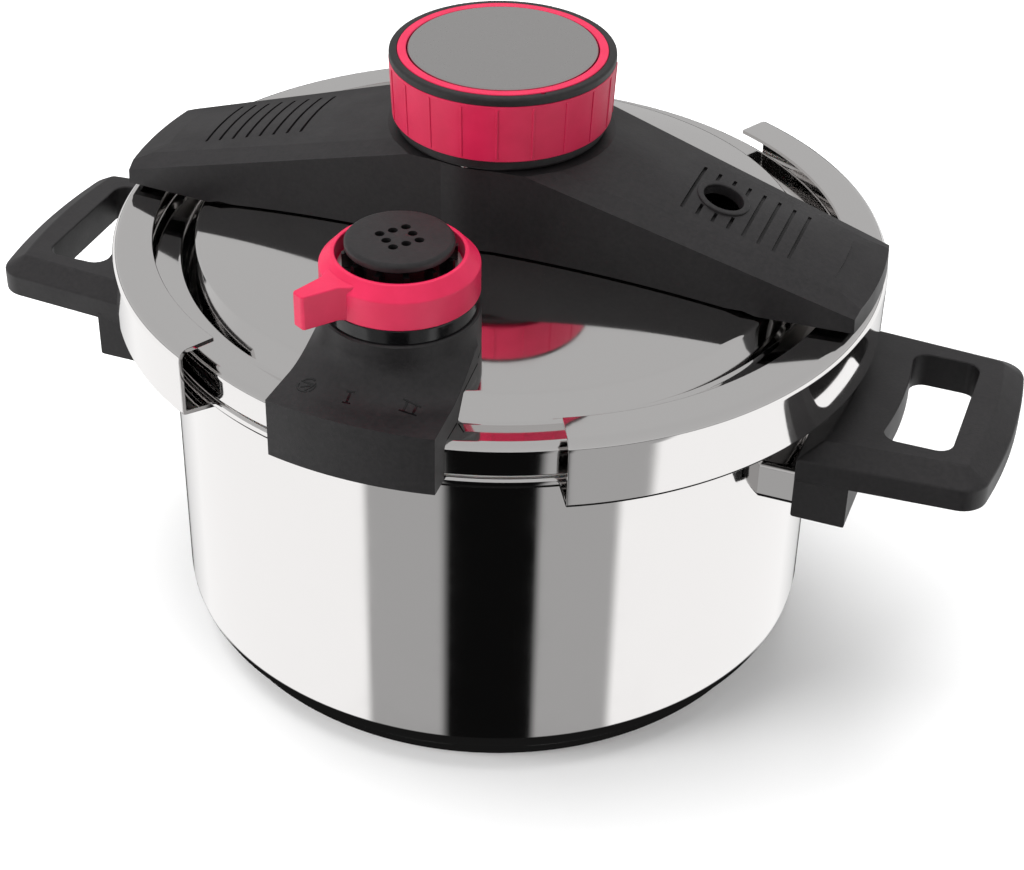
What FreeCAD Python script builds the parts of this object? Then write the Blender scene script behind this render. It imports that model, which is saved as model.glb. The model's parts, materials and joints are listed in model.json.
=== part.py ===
import FreeCAD, Part
import Sketcher
import math
import os
import re

# Stovetop pressure cooker. Millimetres, +Z up. The origin is the centre of the pot's underside,
# the handles and the lid's bar lie along X, and the working valve is on the -Y side.

Vector = FreeCAD.Vector

DIMENSIONS = [
    ("pot_radius", 111, "outside of the pot wall"),
    ("pot_sheet", 1.2, "pot wall and floor"),
    ("floor_low", 7, "underside of the drawn pot, on top of the core"),
    ("pot_corner", 9, "outside radius between wall and floor"),
    ("rim_low", 122.3, "underside of the rim bead"),
    ("rim_top", 126.5, "top of the rim bead"),
    ("rim_radius", 117.5, "outside of the rim bead"),
    ("rim_round", 1.8, "rounding of the rim bead"),
    ("base_radius", 105, "outside of the base cap"),
    ("base_corner", 6, "rounding of the base cap"),
    ("cap_sheet", 1, "sheet of the base cap"),
    ("cap_top", 7.4, "upper edge of the base cap"),
    ("dome_top", 154.6, "crown of the lid"),
    ("dome_radius", 620, "spherical radius of the lid's panel"),
    ("panel_radius", 101, "edge of the domed panel"),
    ("foot_radius", 106.4, "foot of the lid's shoulder"),
    ("flange_top", 138.8, "flat flange round the lid"),
    ("skirt_radius", 118.1, "outside of the lid's skirt"),
    ("skirt_low", 128, "lower edge of the lid's skirt"),
    ("skirt_round", 3, "rounding between flange and skirt"),
    ("lid_sheet", 1.5, "lid sheet"),
    ("gasket_low", 126.6, "underside of the gasket"),
    ("gasket_inner", 108.4, "inside of the gasket"),
    ("gasket_outer", 116.4, "outside of the gasket"),
    ("gasket_lip", 2.8, "thickness of each gasket lip"),
    ("jaw_offset", 5.25, "jaw arc's centre, outward from the pot's axis"),
    ("jaw_radius", 124.2, "outside of the jaw about its own centre"),
    ("jaw_sheet", 1.6, "jaw sheet"),
    ("jaw_top", 145.3, "top of the jaw"),
    ("jaw_low", 121.8, "lower outside edge of the jaw"),
    ("jaw_flange_inner", 110.7, "inside edge of the jaw's top flange"),
    ("jaw_lip_inner", 109.5, "inside edge of the jaw's lower lip"),
    ("jaw_lip_low", 119.4, "underside of the lip at its inside edge"),
    ("jaw_round", 2.5, "rounding of the jaw's top edge"),
    ("jaw_angle", 124.4, "length of the jaw, in degrees"),
    ("jaw_travel", 12.566, "how far a jaw moves outward"),
    ("arm_half", 16, "half width of a slide arm"),
    ("arm_sheet", 1.6, "slide arm sheet"),
    ("arm_level", 157.3, "underside of a slide arm inside the bar"),
    ("arm_inner", 32, "inner end of an arm's plate"),
    ("arm_bend", 80, "where the arm starts to slope down"),
    ("arm_foot", 108, "where the arm lies flat on the jaw"),
    ("arm_tip", 121.5, "outer end of the arm"),
    ("rack_depth", 4, "height of the toothed rack"),
    ("rack_reach", 26, "how far a rack passes the axis"),
    ("rivet_place", 118.5, "rivet distance from the axis"),
    ("rivet_spread", 9, "rivet distance from the middle line"),
    ("gear_module", 1, "module of pinion and racks"),
    ("gear_teeth", 16, "teeth on the pinion"),
    ("gear_backlash", 0.1, "tooth thinning on each part"),
    ("gear_low", 157.4, "underside of the pinion"),
    ("gear_high", 161.2, "top of the pinion's teeth"),
    ("hex_radius", 6.9, "corner radius of the pinion's hexagonal hub"),
    ("hex_top", 171, "top of the pinion's hub"),
    ("bolt_radius", 4, "centre bolt shank"),
    ("bolt_bore", 4.06, "bores that turn on the centre bolt"),
    ("bolt_top", 198, "end of the centre bolt"),
    ("bolt_head_radius", 10, "centre bolt head"),
    ("bolt_head_low", 148.4, "underside of the bolt head"),
    ("bolt_seat", 151.6, "top of the bolt head"),
    ("channel_low", 155.6, "underside of the bridge plate"),
    ("channel_sheet", 1.5, "bridge plate sheet"),
    ("channel_half", 66, "half length of the bridge plate"),
    ("channel_width", 24, "half width of the bridge plate"),
    ("rail_inner", 16.3, "inside of the guide rails"),
    ("rail_sheet", 1, "guide rail sheet"),
    ("rail_top", 162, "top of the guide rails"),
    ("strap_place", 55, "guide strap distance from the axis"),
    ("boss_place", 44, "cover boss distance from the axis, along the bar"),
    ("boss_spread", 21, "cover boss distance from the middle line"),
    ("crease_high", 189.1, "height of the cover's upper crease, drawn back to the axis"),
    ("crease_fall", 0.291, "fall of the crease along the bar"),
    ("crease_wide", 32.4, "half width at the crease, drawn back to the axis"),
    ("crease_narrow", 0.0625, "narrowing of the crease along the bar"),
    ("plateau_inset", 7.2, "bevel band between crease and top, in plan"),
    ("plateau_rise", 2.6, "rise of the bevel band"),
    ("crown_radius", 105, "gentle crown across the top of the cover"),
    ("cover_wall", 2.5, "cover wall"),
    ("cover_start", 12, "inner section of an arm of the cover"),
    ("cover_end", 132, "outer section of an arm of the cover"),
    ("cover_reach", 130, "rounded end of the cover, from the axis"),
    ("cover_hollow_end", 125.5, "end of the hollow inside an arm of the cover"),
    ("cover_gap", 0.6, "gap between cover and lid"),
    ("cover_low", 147.4, "lower edge of the cover over the jaws"),
    ("cover_end_top", 153.8, "top of the cover's end face"),
    ("cover_bevel_reach", 117, "inner edge of the end bevel"),
    ("cover_bevel_top", 158.6, "top of the end bevel"),
    ("hub_radius", 33, "round hub of the cover under the knob"),
    ("hub_top", 183.4, "top of the hub"),
    ("slot_width", 0.9, "width of a cooling slot"),
    ("slot_pitch", 5.1, "slot spacing"),
    ("slot_place", 66, "first slot, from the axis"),
    ("slot_half", 14, "half length of a slot"),
    ("slot_depth", 1.6, "depth of a slot on the middle line"),
    ("indicator_place", 75.7, "pressure indicator, from the axis"),
    ("indicator_hole", 6.7, "radius of the hole in the cover"),
    ("indicator_rim", 8.9, "radius of the raised rim round the hole"),
    ("pin_radius", 3.45, "indicator pin"),
    ("pin_bore", 3.5, "bore of the indicator bush"),
    ("pin_low", 134.9, "underside of the indicator pin"),
    ("pin_top", 163.5, "top of the indicator pin at rest"),
    ("bush_radius", 6, "threaded bushes through the lid"),
    ("bush_hole", 6.1, "holes in the lid for those bushes"),
    ("bush_low", 143.5, "lower end of the indicator bush"),
    ("bush_flange", 8.5, "flange of the indicator bush"),
    ("nut_radius", 9.2, "corner radius of the hexagonal nuts"),
    ("knob_low", 183.8, "underside of the knob"),
    ("knob_flange", 34, "black lower ring of the knob"),
    ("grip_low", 187.9, "lower edge of the grip"),
    ("grip_top", 207.4, "upper edge of the grip"),
    ("grip_low_radius", 35.5, "grip at its lower edge"),
    ("grip_radius", 36.4, "grip at its upper edge"),
    ("grip_ribs", 20, "ribs round the grip"),
    ("rib_height", 0.3, "how far a rib stands out"),
    ("rib_width", 0.8, "width of a rib"),
    ("core_radius", 30, "core that the grip sits on"),
    ("stem_radius", 11, "stem of the knob"),
    ("stem_low", 162.5, "lower end of the stem"),
    ("knob_top", 210.6, "top of the metal disc"),
    ("disc_radius", 30.4, "metal disc in the knob"),
    ("ring_inner", 33.8, "inside of the black top ring"),
    ("ring_top", 210.1, "top of the black top ring"),
    ("screw_ring", 32, "knob screws, from the axis"),
    ("valve_place", 84.6, "working valve, from the axis"),
    ("tower_radius", 24.5, "round tower of the valve housing"),
    ("tower_top", 163.6, "top of the tower"),
    ("tower_bore", 20.5, "hollow of the tower"),
    ("tower_floor", 152.5, "floor inside the tower"),
    ("block_half", 27, "half width of the housing at its front"),
    ("block_reach", 126.3, "curved front of the housing"),
    ("block_low", 126, "lower edge of the housing's front skirt"),
    ("block_front_top", 145.5, "front crease of the housing"),
    ("block_top", 151, "top of the housing beside the tower"),
    ("collar_radius", 23.5, "glossy collar under the selector"),
    ("collar_top", 168.6, "top of the collar"),
    ("neck_radius", 18, "neck that the selector turns on"),
    ("neck_shoulder", 176.5, "shoulder of the neck"),
    ("neck_top", 182.4, "top of the neck"),
    ("neck_core", 14.5, "neck between the fins"),
    ("neck_bore", 9, "bore for the plunger"),
    ("fin_radius", 17.3, "outside of the fins"),
    ("fin_count", 12, "fins round the neck"),
    ("selector_radius", 24.2, "selector ring"),
    ("selector_bore", 18.06, "bore of the selector ring"),
    ("selector_low", 168.8, "underside of the selector ring"),
    ("selector_shoulder", 178.2, "start of the selector's bevel"),
    ("selector_top", 182.2, "top of the selector ring"),
    ("selector_mouth", 19.6, "opening at the top of the selector"),
    ("lever_reach", 37, "end of the selector's lever"),
    ("lever_half", 2.4, "half width of the lever's end"),
    ("lever_top", 180.4, "top of the lever"),
    ("lever_turn", 240, "rest direction of the lever, in degrees from +X"),
    ("cap_radius", 16.5, "valve cap"),
    ("cap_low", 183.6, "underside of the valve cap"),
    ("valve_cap_top", 186.4, "top of the valve cap"),
    ("cap_hole", 1.5, "steam hole radius"),
    ("cap_pitch", 4.35, "steam hole spacing"),
    ("tube_top", 165, "seat at the top of the steam tube"),
    ("plunger_radius", 8.7, "valve plunger"),
    ("plunger_top", 175, "top of the plunger"),
    ("spring_wire", 0.45, "wire radius of the valve spring"),
    ("spring_radius", 6, "coil radius of the valve spring"),
    ("handle_face", 116.5, "face of a handle's block towards the pot"),
    ("handle_back", 134, "outer face of a handle's block"),
    ("handle_block_low", 85, "underside of a handle's block"),
    ("handle_low", 100.4, "underside of a handle's loop"),
    ("handle_top", 113, "top of a handle"),
    ("handle_tip", 178, "tip of a handle on the middle line"),
    ("handle_shoulder", 167.3, "start of a handle's rounded corner"),
    ("handle_corner", 175.6, "end of a handle's rounded corner"),
    ("handle_round", 9, "radius of a handle's rounded corners"),
    ("handle_half", 42.5, "half width of a handle at the block"),
    ("handle_end_half", 39.1, "half width of a handle near its tip"),
    ("handle_corner_half", 31.5, "where the tip's arc ends"),
    ("handle_bevel", 4.5, "height of the bevel round the top of a handle"),
    ("handle_bevel_width", 7.5, "width of that bevel"),
    ("grip_hole_in", 141.4, "finger hole, inner side, from the middle of the pot"),
    ("grip_hole_out", 161.8, "finger hole, outer side"),
    ("grip_hole_half", 26.5, "half width of the finger hole"),
    ("grip_hole_round", 5, "corner radius of the finger hole"),
    ("bracket_half", 38, "half width of a handle bracket"),
    ("bracket_low", 87, "underside of a bracket"),
    ("bracket_top", 101, "top of a bracket"),
    ("bracket_reach", 124, "outer end of a bracket"),
    ("bracket_sheet", 1.5, "bracket sheet"),
    ("handle_screw_level", 91, "height of the handle screws"),
    ("handle_screw_spread", 20, "handle screws, from the middle line"),
    ("handle_screw", 2.5, "handle screw radius"),
    ("washer_low", 188.6, "underside of the washer inside the knob"),
    ("washer_sheet", 1.5, "washer inside the knob"),
    ("centre_nut_height", 6, "nut on the centre bolt"),
    ("centre_nut_radius", 7.5, "corner radius of the nut on the centre bolt"),
    ("cover_screw", 1.5, "screws that hold the cover"),
    ("cover_screw_bore", 1.7, "bores of those screws in the bridge plate"),
    ("cover_screw_head", 3, "heads of those screws"),
    ("cover_screw_grip", 7, "how far those screws reach into the cover"),
    ("boss_radius", 3.3, "screw bosses inside the cover"),
    ("strap_half", 4, "half length of a guide strap"),
    ("slot_ceiling", 1.9, "crown of the cover above the bevel band"),
    ("rivet_radius", 2, "rivets that join arm and jaw"),
    ("rivet_head_radius", 3.5, "heads of those rivets"),
    ("rivet_head_height", 1.2, "height of those heads"),
    ("knob_floor", 188.5, "floor inside the knob"),
    ("knob_screw", 1.1, "screws that hold the knob together"),
    ("knob_screw_head", 1.5, "heads of the knob screws"),
    ("knob_screw_sink", 1.6, "recesses for those heads"),
    ("knob_head_height", 1.3, "height of those heads"),
    ("ring_ledge", 208.6, "ledge of the black top ring"),
    ("disc_seat", 204.5, "seat of the metal disc in the core"),
    ("steam_bore", 2, "bore of the steam tube"),
    ("steam_flange", 10, "flange of the steam tube"),
    ("steam_flange_top", 154.5, "top of that flange"),
    ("steam_low", 141.6, "lower end of the steam tube"),
    ("tube_nut_top", 145.8, "top of the nut under the lid"),
    ("bush_nut_top", 147.1, "top of the nut on the indicator bush"),
    ("bush_flange_low", 151.2, "underside of the indicator bush's flange"),
    ("fin_half", 0.8, "half width of a fin"),
    ("fit", 0.3, "clearance between pieces that only lie close"),
    ("joint_gap", 0.1, "clearance between pieces that are bolted up"),
]

# Levels that follow from the sheet, written as formulas.
DOME_EDGE = "(dome_top - dome_radius + sqrt(dome_radius ^ 2 - panel_radius ^ 2))"
GASKET_TOP = "(flange_top - lid_sheet - joint_gap)"
CREASE = "({axis} - {fall} * {place})"

document = FreeCAD.newDocument("PressureCooker")
sheet = document.addObject("Spreadsheet::Sheet", "Dims")
aliases = set()
for row, (alias, amount, note) in enumerate(DIMENSIONS, start=1):
    sheet.set("A%d" % row, note)
    sheet.set("B%d" % row, str(amount))
    sheet.setAlias("B%d" % row, alias)
    aliases.add(alias)
document.recompute()

pieces = []


def formula(text):
    """Point every dimension's name in a formula at its cell."""
    def cell(match):
        word = match.group()
        return "Dims." + word if word in aliases else word
    return re.sub(r"[a-z][a-z_]*", cell, str(text))


def number(text):
    """The present value of a formula."""
    result = sheet.evalExpression(formula(text))
    return float(getattr(result, "Value", result))


def bind(thing, **formulas):
    """Bind properties to formulas; a double underscore stands for a dot."""
    for name, text in formulas.items():
        thing.setExpression(name.replace("__", "."), formula(text))


def keep(thing, label):
    """Name a finished sub-part, which also lists it for export."""
    thing.Label = label
    pieces.append(thing)
    return thing


def place(thing, x="0", y="0", z="0"):
    bind(thing, Placement__Base__x=x, Placement__Base__y=y, Placement__Base__z=z)
    return thing


# ---- solids -----------------------------------------------------------------------------------

def cylinder(name, radius, low, high, x="0", y="0"):
    """An upright cylinder between two levels."""
    thing = document.addObject("Part::Cylinder", name)
    bind(thing, Radius=radius, Height="(%s) - (%s)" % (high, low))
    return place(thing, x, y, low)


def level_cylinder(name, radius, start, end, y, z):
    """A cylinder that lies along X."""
    thing = document.addObject("Part::Cylinder", name)
    bind(thing, Radius=radius, Height="(%s) - (%s)" % (end, start))
    thing.Placement.Rotation = FreeCAD.Rotation(Vector(0, 1, 0), 90)
    return place(thing, start, y, z)


def box(name, x, y, z):
    """A box from three (low, high) pairs of formulas."""
    thing = document.addObject("Part::Box", name)
    bind(thing, Length="(%s) - (%s)" % (x[1], x[0]), Width="(%s) - (%s)" % (y[1], y[0]),
         Height="(%s) - (%s)" % (z[1], z[0]))
    return place(thing, x[0], y[0], z[0])


def hexagon(name, radius, low, high, x="0", y="0"):
    thing = document.addObject("Part::Prism", name)
    thing.Polygon = 6
    bind(thing, Circumradius=radius, Height="(%s) - (%s)" % (high, low))
    return place(thing, x, y, low)


def fuse(name, parts):
    thing = document.addObject("Part::MultiFuse", name)
    thing.Shapes = parts
    return thing


def group(name, parts):
    """Several separate solids as one object."""
    thing = document.addObject("Part::Compound", name)
    thing.Links = parts
    return thing


def cut(name, base, *tools):
    thing = document.addObject("Part::Cut", name)
    thing.Base = base
    thing.Tool = tools[0] if len(tools) == 1 else fuse(name + "_tools", list(tools))
    return thing


def turned_half(thing):
    """Turn a finished right-hand part half round the Z axis, for the left side."""
    thing.Placement = FreeCAD.Placement(Vector(), FreeCAD.Rotation(Vector(0, 0, 1), 180))
    return thing


# ---- sketches and bodies ----------------------------------------------------------------------

def new_body(name):
    return document.addObject("PartDesign::Body", name)


def new_sketch(body, role, name, offset=None):
    """A sketch on one of a body's own origin planes."""
    support = [plane for plane in body.Origin.OriginFeatures if plane.Role == role][0]
    sketch = body.newObject("Sketcher::SketchObject", name)
    sketch.AttachmentSupport = [(support, "")]
    sketch.MapMode = "FlatFace"
    if offset is not None:
        bind(sketch, AttachmentOffset__Base__z=offset)
    return sketch


def draw(sketch, path):
    """Draw a closed outline. A step is (x, y), or (x, y, radius, side) for an arc that ends there:
    side 1 keeps the arc's centre on the left of its direction, -1 on the right."""
    start = sketch.GeometryCount
    points = [Vector(number(step[0]), number(step[1]), 0) for step in path]
    ends = []
    for index, step in enumerate(path):
        first = points[index - 1]
        last = points[index]
        if len(step) == 2:
            sketch.addGeometry(Part.LineSegment(first, last))
            ends.append((1, 2))
            continue
        radius = number(step[2])
        middle = (first + last) * 0.5
        chord = last - first
        normal = Vector(-chord.y, chord.x, 0).normalize() * step[3]
        rise = math.sqrt(max(radius ** 2 - chord.Length ** 2 / 4, 0))
        centre = middle + normal * rise
        angles = [math.atan2(p.y - centre.y, p.x - centre.x) for p in (first, last)]
        if step[3] < 0:
            angles.reverse()
        circle = Part.Circle(centre, Vector(0, 0, 1), radius)
        sketch.addGeometry(Part.ArcOfCircle(circle, angles[0], angles[1]))
        ends.append((1, 2) if step[3] > 0 else (2, 1))
    for index, step in enumerate(path):
        geometry = start + index
        following = start + (index + 1) % len(path)
        sketch.addConstraint(Sketcher.Constraint(
            "Coincident", geometry, ends[index][1], following, ends[(index + 1) % len(path)][0]))
        for kind, text, amount in (("DistanceX", step[0], points[index].x),
                                   ("DistanceY", step[1], points[index].y)):
            added = sketch.addConstraint(Sketcher.Constraint(
                kind, -1, 1, geometry, ends[index][1], amount))
            sketch.setExpression("Constraints[%d]" % added, formula(text))
        if len(step) == 4:
            added = sketch.addConstraint(Sketcher.Constraint("Radius", geometry, number(step[2])))
            sketch.setExpression("Constraints[%d]" % added, formula(step[2]))


def circles(sketch, places, radius):
    for x, y in places:
        added = sketch.addGeometry(Part.Circle(Vector(number(x), number(y), 0), Vector(0, 0, 1),
                                               number(radius)))
        for kind, text in (("DistanceX", x), ("DistanceY", y)):
            limit = sketch.addConstraint(Sketcher.Constraint(kind, -1, 1, added, 3, number(text)))
            sketch.setExpression("Constraints[%d]" % limit, formula(text))
        limit = sketch.addConstraint(Sketcher.Constraint("Radius", added, number(radius)))
        sketch.setExpression("Constraints[%d]" % limit, formula(radius))


def spin(body, name, path, kind="Revolution", angle=None):
    """Add or cut a solid of revolution about the body's Z axis."""
    sketch = new_sketch(body, "XZ_Plane", name + "_sketch")
    draw(sketch, path)
    feature = body.newObject("PartDesign::" + kind, name)
    feature.Profile = sketch
    feature.ReferenceAxis = (sketch, ["V_Axis"])
    feature.Angle = 360
    if angle is not None:
        feature.Midplane = True
        bind(feature, Angle=angle)
    document.recompute()
    return feature


def pad(body, name, path, low, high):
    """Add an upright extrusion between two levels."""
    sketch = new_sketch(body, "XY_Plane", name + "_sketch", low)
    draw(sketch, path)
    feature = body.newObject("PartDesign::Pad", name)
    feature.Profile = sketch
    bind(feature, Length="(%s) - (%s)" % (high, low))
    document.recompute()
    return feature


def pocket(body, name, paths, low, high, round_holes=None):
    """Cut upright holes between two levels."""
    volume = body.Shape.Volume
    sketch = new_sketch(body, "XY_Plane", name + "_sketch", high)
    for path in paths:
        draw(sketch, path)
    if round_holes:
        circles(sketch, *round_holes)
    feature = body.newObject("PartDesign::Pocket", name)
    feature.Profile = sketch
    bind(feature, Length="(%s) - (%s)" % (high, low))
    document.recompute()
    if body.Shape.Volume > volume - 0.01:
        raise RuntimeError(name + " cuts nothing")
    return feature


def stack_up(body, name, layers):
    """Add a loft through outlines at rising levels."""
    sketches = []
    for index, (path, level) in enumerate(layers):
        sketch = new_sketch(body, "XY_Plane", "%s_%d" % (name, index), level)
        draw(sketch, path)
        sketches.append(sketch)
    loft = body.newObject("PartDesign::AdditiveLoft", name)
    loft.Profile = sketches[0]
    loft.Sections = sketches[1:]
    loft.Ruled = True
    document.recompute()
    return loft


def polar(body, name, feature, count):
    """Repeat a feature round the body's Z axis."""
    axis = [line for line in body.Origin.OriginFeatures if line.Role == "Z_Axis"][0]
    pattern = body.newObject("PartDesign::PolarPattern", name)
    pattern.Originals = [feature]
    pattern.Axis = (axis, [""])
    pattern.Angle = 360
    bind(pattern, Occurrences=count)
    body.Tip = pattern
    document.recompute()
    return pattern


def turned(label, path, y="0"):
    """A whole sub-part that is one solid of revolution."""
    body = new_body(label + "_body")
    spin(body, label + "_turn", path)
    place(body, y=y)
    return body


# ---- pot --------------------------------------------------------------------------------------

def make_pot():
    inner = "pot_radius - pot_sheet"
    floor = "floor_low + pot_sheet"
    corner_foot = "pot_radius - pot_corner"
    keep(turned("pot_shell", [
        ("0", "floor_low"),
        (corner_foot, "floor_low"),
        ("pot_radius", "floor_low + pot_corner", "pot_corner", 1),
        ("pot_radius", "rim_low"),
        ("rim_radius - rim_round", "rim_low"),
        ("rim_radius", "rim_low + rim_round", "rim_round", 1),
        ("rim_radius", "rim_top - rim_round"),
        ("rim_radius - rim_round", "rim_top", "rim_round", 1),
        ("pot_radius + pot_sheet", "rim_top"),
        (inner, "rim_top - 2 * pot_sheet", "2 * pot_sheet", 1),
        (inner, "floor_low + pot_corner"),
        (corner_foot, floor, "pot_corner - pot_sheet", -1),
        ("0", floor),
    ]), "pot_shell")
    keep(turned("base_cap", [
        ("0", "0"),
        ("base_radius - base_corner", "0"),
        ("base_radius", "base_corner", "base_corner", 1),
        ("base_radius", "cap_top"),
        ("base_radius - cap_sheet", "floor_low"),
        ("base_radius - cap_sheet", "base_corner"),
        ("base_radius - base_corner", "cap_sheet", "base_corner - cap_sheet", -1),
        ("0", "cap_sheet"),
    ]), "base_cap")
    keep(turned("base_core", [
        ("0", "cap_sheet"),
        ("base_radius - base_corner", "cap_sheet"),
        ("base_radius - cap_sheet", "base_corner", "base_corner - cap_sheet", 1),
        ("base_radius - cap_sheet", "floor_low"),
        ("0", "floor_low"),
    ]), "base_core")


# ---- lid --------------------------------------------------------------------------------------

def lid_outside(gap):
    """The lid's outer line from its crown to its skirt, grown by a gap."""
    return [
        ("0", "dome_top + " + gap),
        ("panel_radius", "%s + %s" % (DOME_EDGE, gap), "dome_radius + " + gap, -1),
        ("foot_radius + " + gap, "flange_top + " + gap),
        ("skirt_radius - skirt_round", "flange_top + " + gap),
        ("skirt_radius + " + gap, "flange_top - skirt_round", "skirt_round + " + gap, -1),
    ]


def make_lid():
    body = new_body("lid_shell_body")
    inner = "skirt_radius - lid_sheet"
    inner_round = "skirt_round - lid_sheet"
    spin(body, "lid_turn", lid_outside("0 * lid_sheet") + [
        ("skirt_radius", "skirt_low"),
        (inner, "skirt_low"),
        (inner, "flange_top - skirt_round"),
        ("skirt_radius - skirt_round", "flange_top - lid_sheet", inner_round, 1),
        ("foot_radius - lid_sheet", "flange_top - lid_sheet"),
        ("panel_radius - lid_sheet", DOME_EDGE + " - lid_sheet"),
        ("0", "dome_top - lid_sheet", "dome_radius - lid_sheet", 1),
    ])
    pocket(body, "lid_bores", [], "dome_top - 4 * gasket_lip", "dome_top + cover_gap",
           ([("0", "-valve_place"), ("indicator_place", "0")], "bush_hole"))
    pocket(body, "lid_bolt_bore", [], "dome_top - 4 * lid_sheet", "dome_top + cover_gap",
           ([("0", "0")], "bolt_radius + joint_gap"))
    keep(body, "lid_shell")
    low_lip = "gasket_low + gasket_lip"
    high_lip = GASKET_TOP + " - gasket_lip"
    back = "gasket_outer - gasket_lip"
    keep(turned("lid_gasket", [
        ("gasket_inner", "gasket_low"),
        ("gasket_outer", "gasket_low"),
        ("gasket_outer", GASKET_TOP + " - skirt_round"),
        ("gasket_outer - skirt_round", GASKET_TOP, "skirt_round", 1),
        ("gasket_inner", GASKET_TOP),
        ("gasket_inner", high_lip),
        (back, high_lip),
        (back, low_lip),
        ("gasket_inner", low_lip),
    ]), "lid_gasket")


def make_centre():
    keep(fuse("bolt_fuse", [
        cylinder("bolt_head", "bolt_head_radius", "bolt_head_low", "bolt_seat"),
        cylinder("bolt_shank", "bolt_radius", "bolt_head_low", "bolt_top"),
    ]), "centre_bolt")
    ring = "bolt_radius + joint_gap"
    seal_top = "dome_top - lid_sheet - joint_gap"
    keep(cut("seal_cut", cylinder("seal_outer", "bolt_head_radius - 1", "bolt_seat", seal_top),
             cylinder("seal_bore", ring, "bolt_seat - 1", "dome_top")), "bolt_seal")
    keep(cut("spacer_cut", cylinder("spacer_outer", "3 * bolt_radius", "dome_top", "channel_low"),
             cylinder("spacer_bore", ring, "dome_top - 1", "channel_low + 1")), "spacer_collar")
    washer_top = "washer_low + washer_sheet"
    nut_top = washer_top + " + centre_nut_height"
    keep(cut("washer_cut", cylinder("washer_outer", "2 * bolt_radius", "washer_low", washer_top),
             cylinder("washer_bore", "bolt_radius + 0.01", "washer_low - 1",
                      washer_top + " + 1")), "centre_washer")
    keep(cut("nut_cut", hexagon("nut_hexagon", "centre_nut_radius", washer_top, nut_top),
             cylinder("nut_bore", "bolt_radius", "washer_low", nut_top + " + 1")), "centre_nut")


def make_bridge():
    top = "channel_low + channel_sheet"
    rail_outer = "rail_inner + rail_sheet"
    ends = ("-channel_half", "channel_half")
    plate = box("bridge_plate", ends, ("-channel_width", "channel_width"), ("channel_low", top))
    rails = [
        box("rail_near", ends, ("-(%s)" % rail_outer, "-rail_inner"), ("channel_low", "rail_top")),
        box("rail_far", ends, ("rail_inner", rail_outer), ("channel_low", "rail_top")),
    ]
    bores = [cylinder("bridge_bore", "bolt_radius + joint_gap", "channel_low - 1", top + " + 1")]
    screws = []
    for index, (x, y) in enumerate(((1, 1), (1, -1), (-1, 1), (-1, -1))):
        at = ("%d * boss_place" % x, "%d * boss_spread" % y)
        bores.append(cylinder("screw_bore_%d" % index, "cover_screw_bore", "channel_low - 1",
                              top + " + 1", *at))
        screws.append(fuse("cover_screw_%d" % index, [
            cylinder("cover_screw_head_%d" % index, "cover_screw_head", "channel_low - 2",
                     "channel_low", *at),
            cylinder("cover_screw_shank_%d" % index, "cover_screw", "channel_low - 2",
                     top + " + cover_screw_grip", *at),
        ]))
    keep(cut("bridge_cut", fuse("bridge_fuse", [plate] + rails), *bores), "bridge_channel")
    keep(group("cover_screw_group", screws), "cover_screws")
    straps = []
    for side in (-1, 1):
        across = ("%d * strap_place - strap_half" % side, "%d * strap_place + strap_half" % side)
        straps.append(box("strap_%d" % (side + 1), across, ("-(%s)" % rail_outer, rail_outer),
                          ("rail_top", "rail_top + rail_sheet")))
    keep(group("strap_group", straps), "guide_straps")


# ---- cover of the bar -------------------------------------------------------------------------

def cover_section(place_text, wall):
    """Cross-section of an arm at a distance from the axis, made smaller by a wall thickness."""
    half = CREASE.format(axis="crease_wide", fall="crease_narrow", place=place_text) + " - " + wall
    level = CREASE.format(axis="crease_high", fall="crease_fall", place=place_text) + " - " + wall
    top_half = "%s - plateau_inset" % half
    top_level = "%s + plateau_rise" % level
    return [
        ("-(%s)" % half, "skirt_low"),
        (half, "skirt_low"),
        (half, level),
        (top_half, top_level),
        ("-(%s)" % top_half, top_level, "crown_radius", 1),
        ("-(%s)" % half, level),
    ]


def cover_arm(body, name, wall, kind, side, end):
    """Loft one arm of the cover, outside or inside."""
    sections = []
    for index, distance in enumerate(("cover_start", end)):
        sketch = new_sketch(body, "YZ_Plane", "%s_section_%d" % (name, index),
                            "%d * %s" % (side, distance))
        draw(sketch, cover_section(distance, wall))
        sections.append(sketch)
    loft = body.newObject("PartDesign::" + kind, name)
    loft.Profile = sections[0]
    loft.Sections = [sections[1]]
    loft.Ruled = True
    document.recompute()


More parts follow.
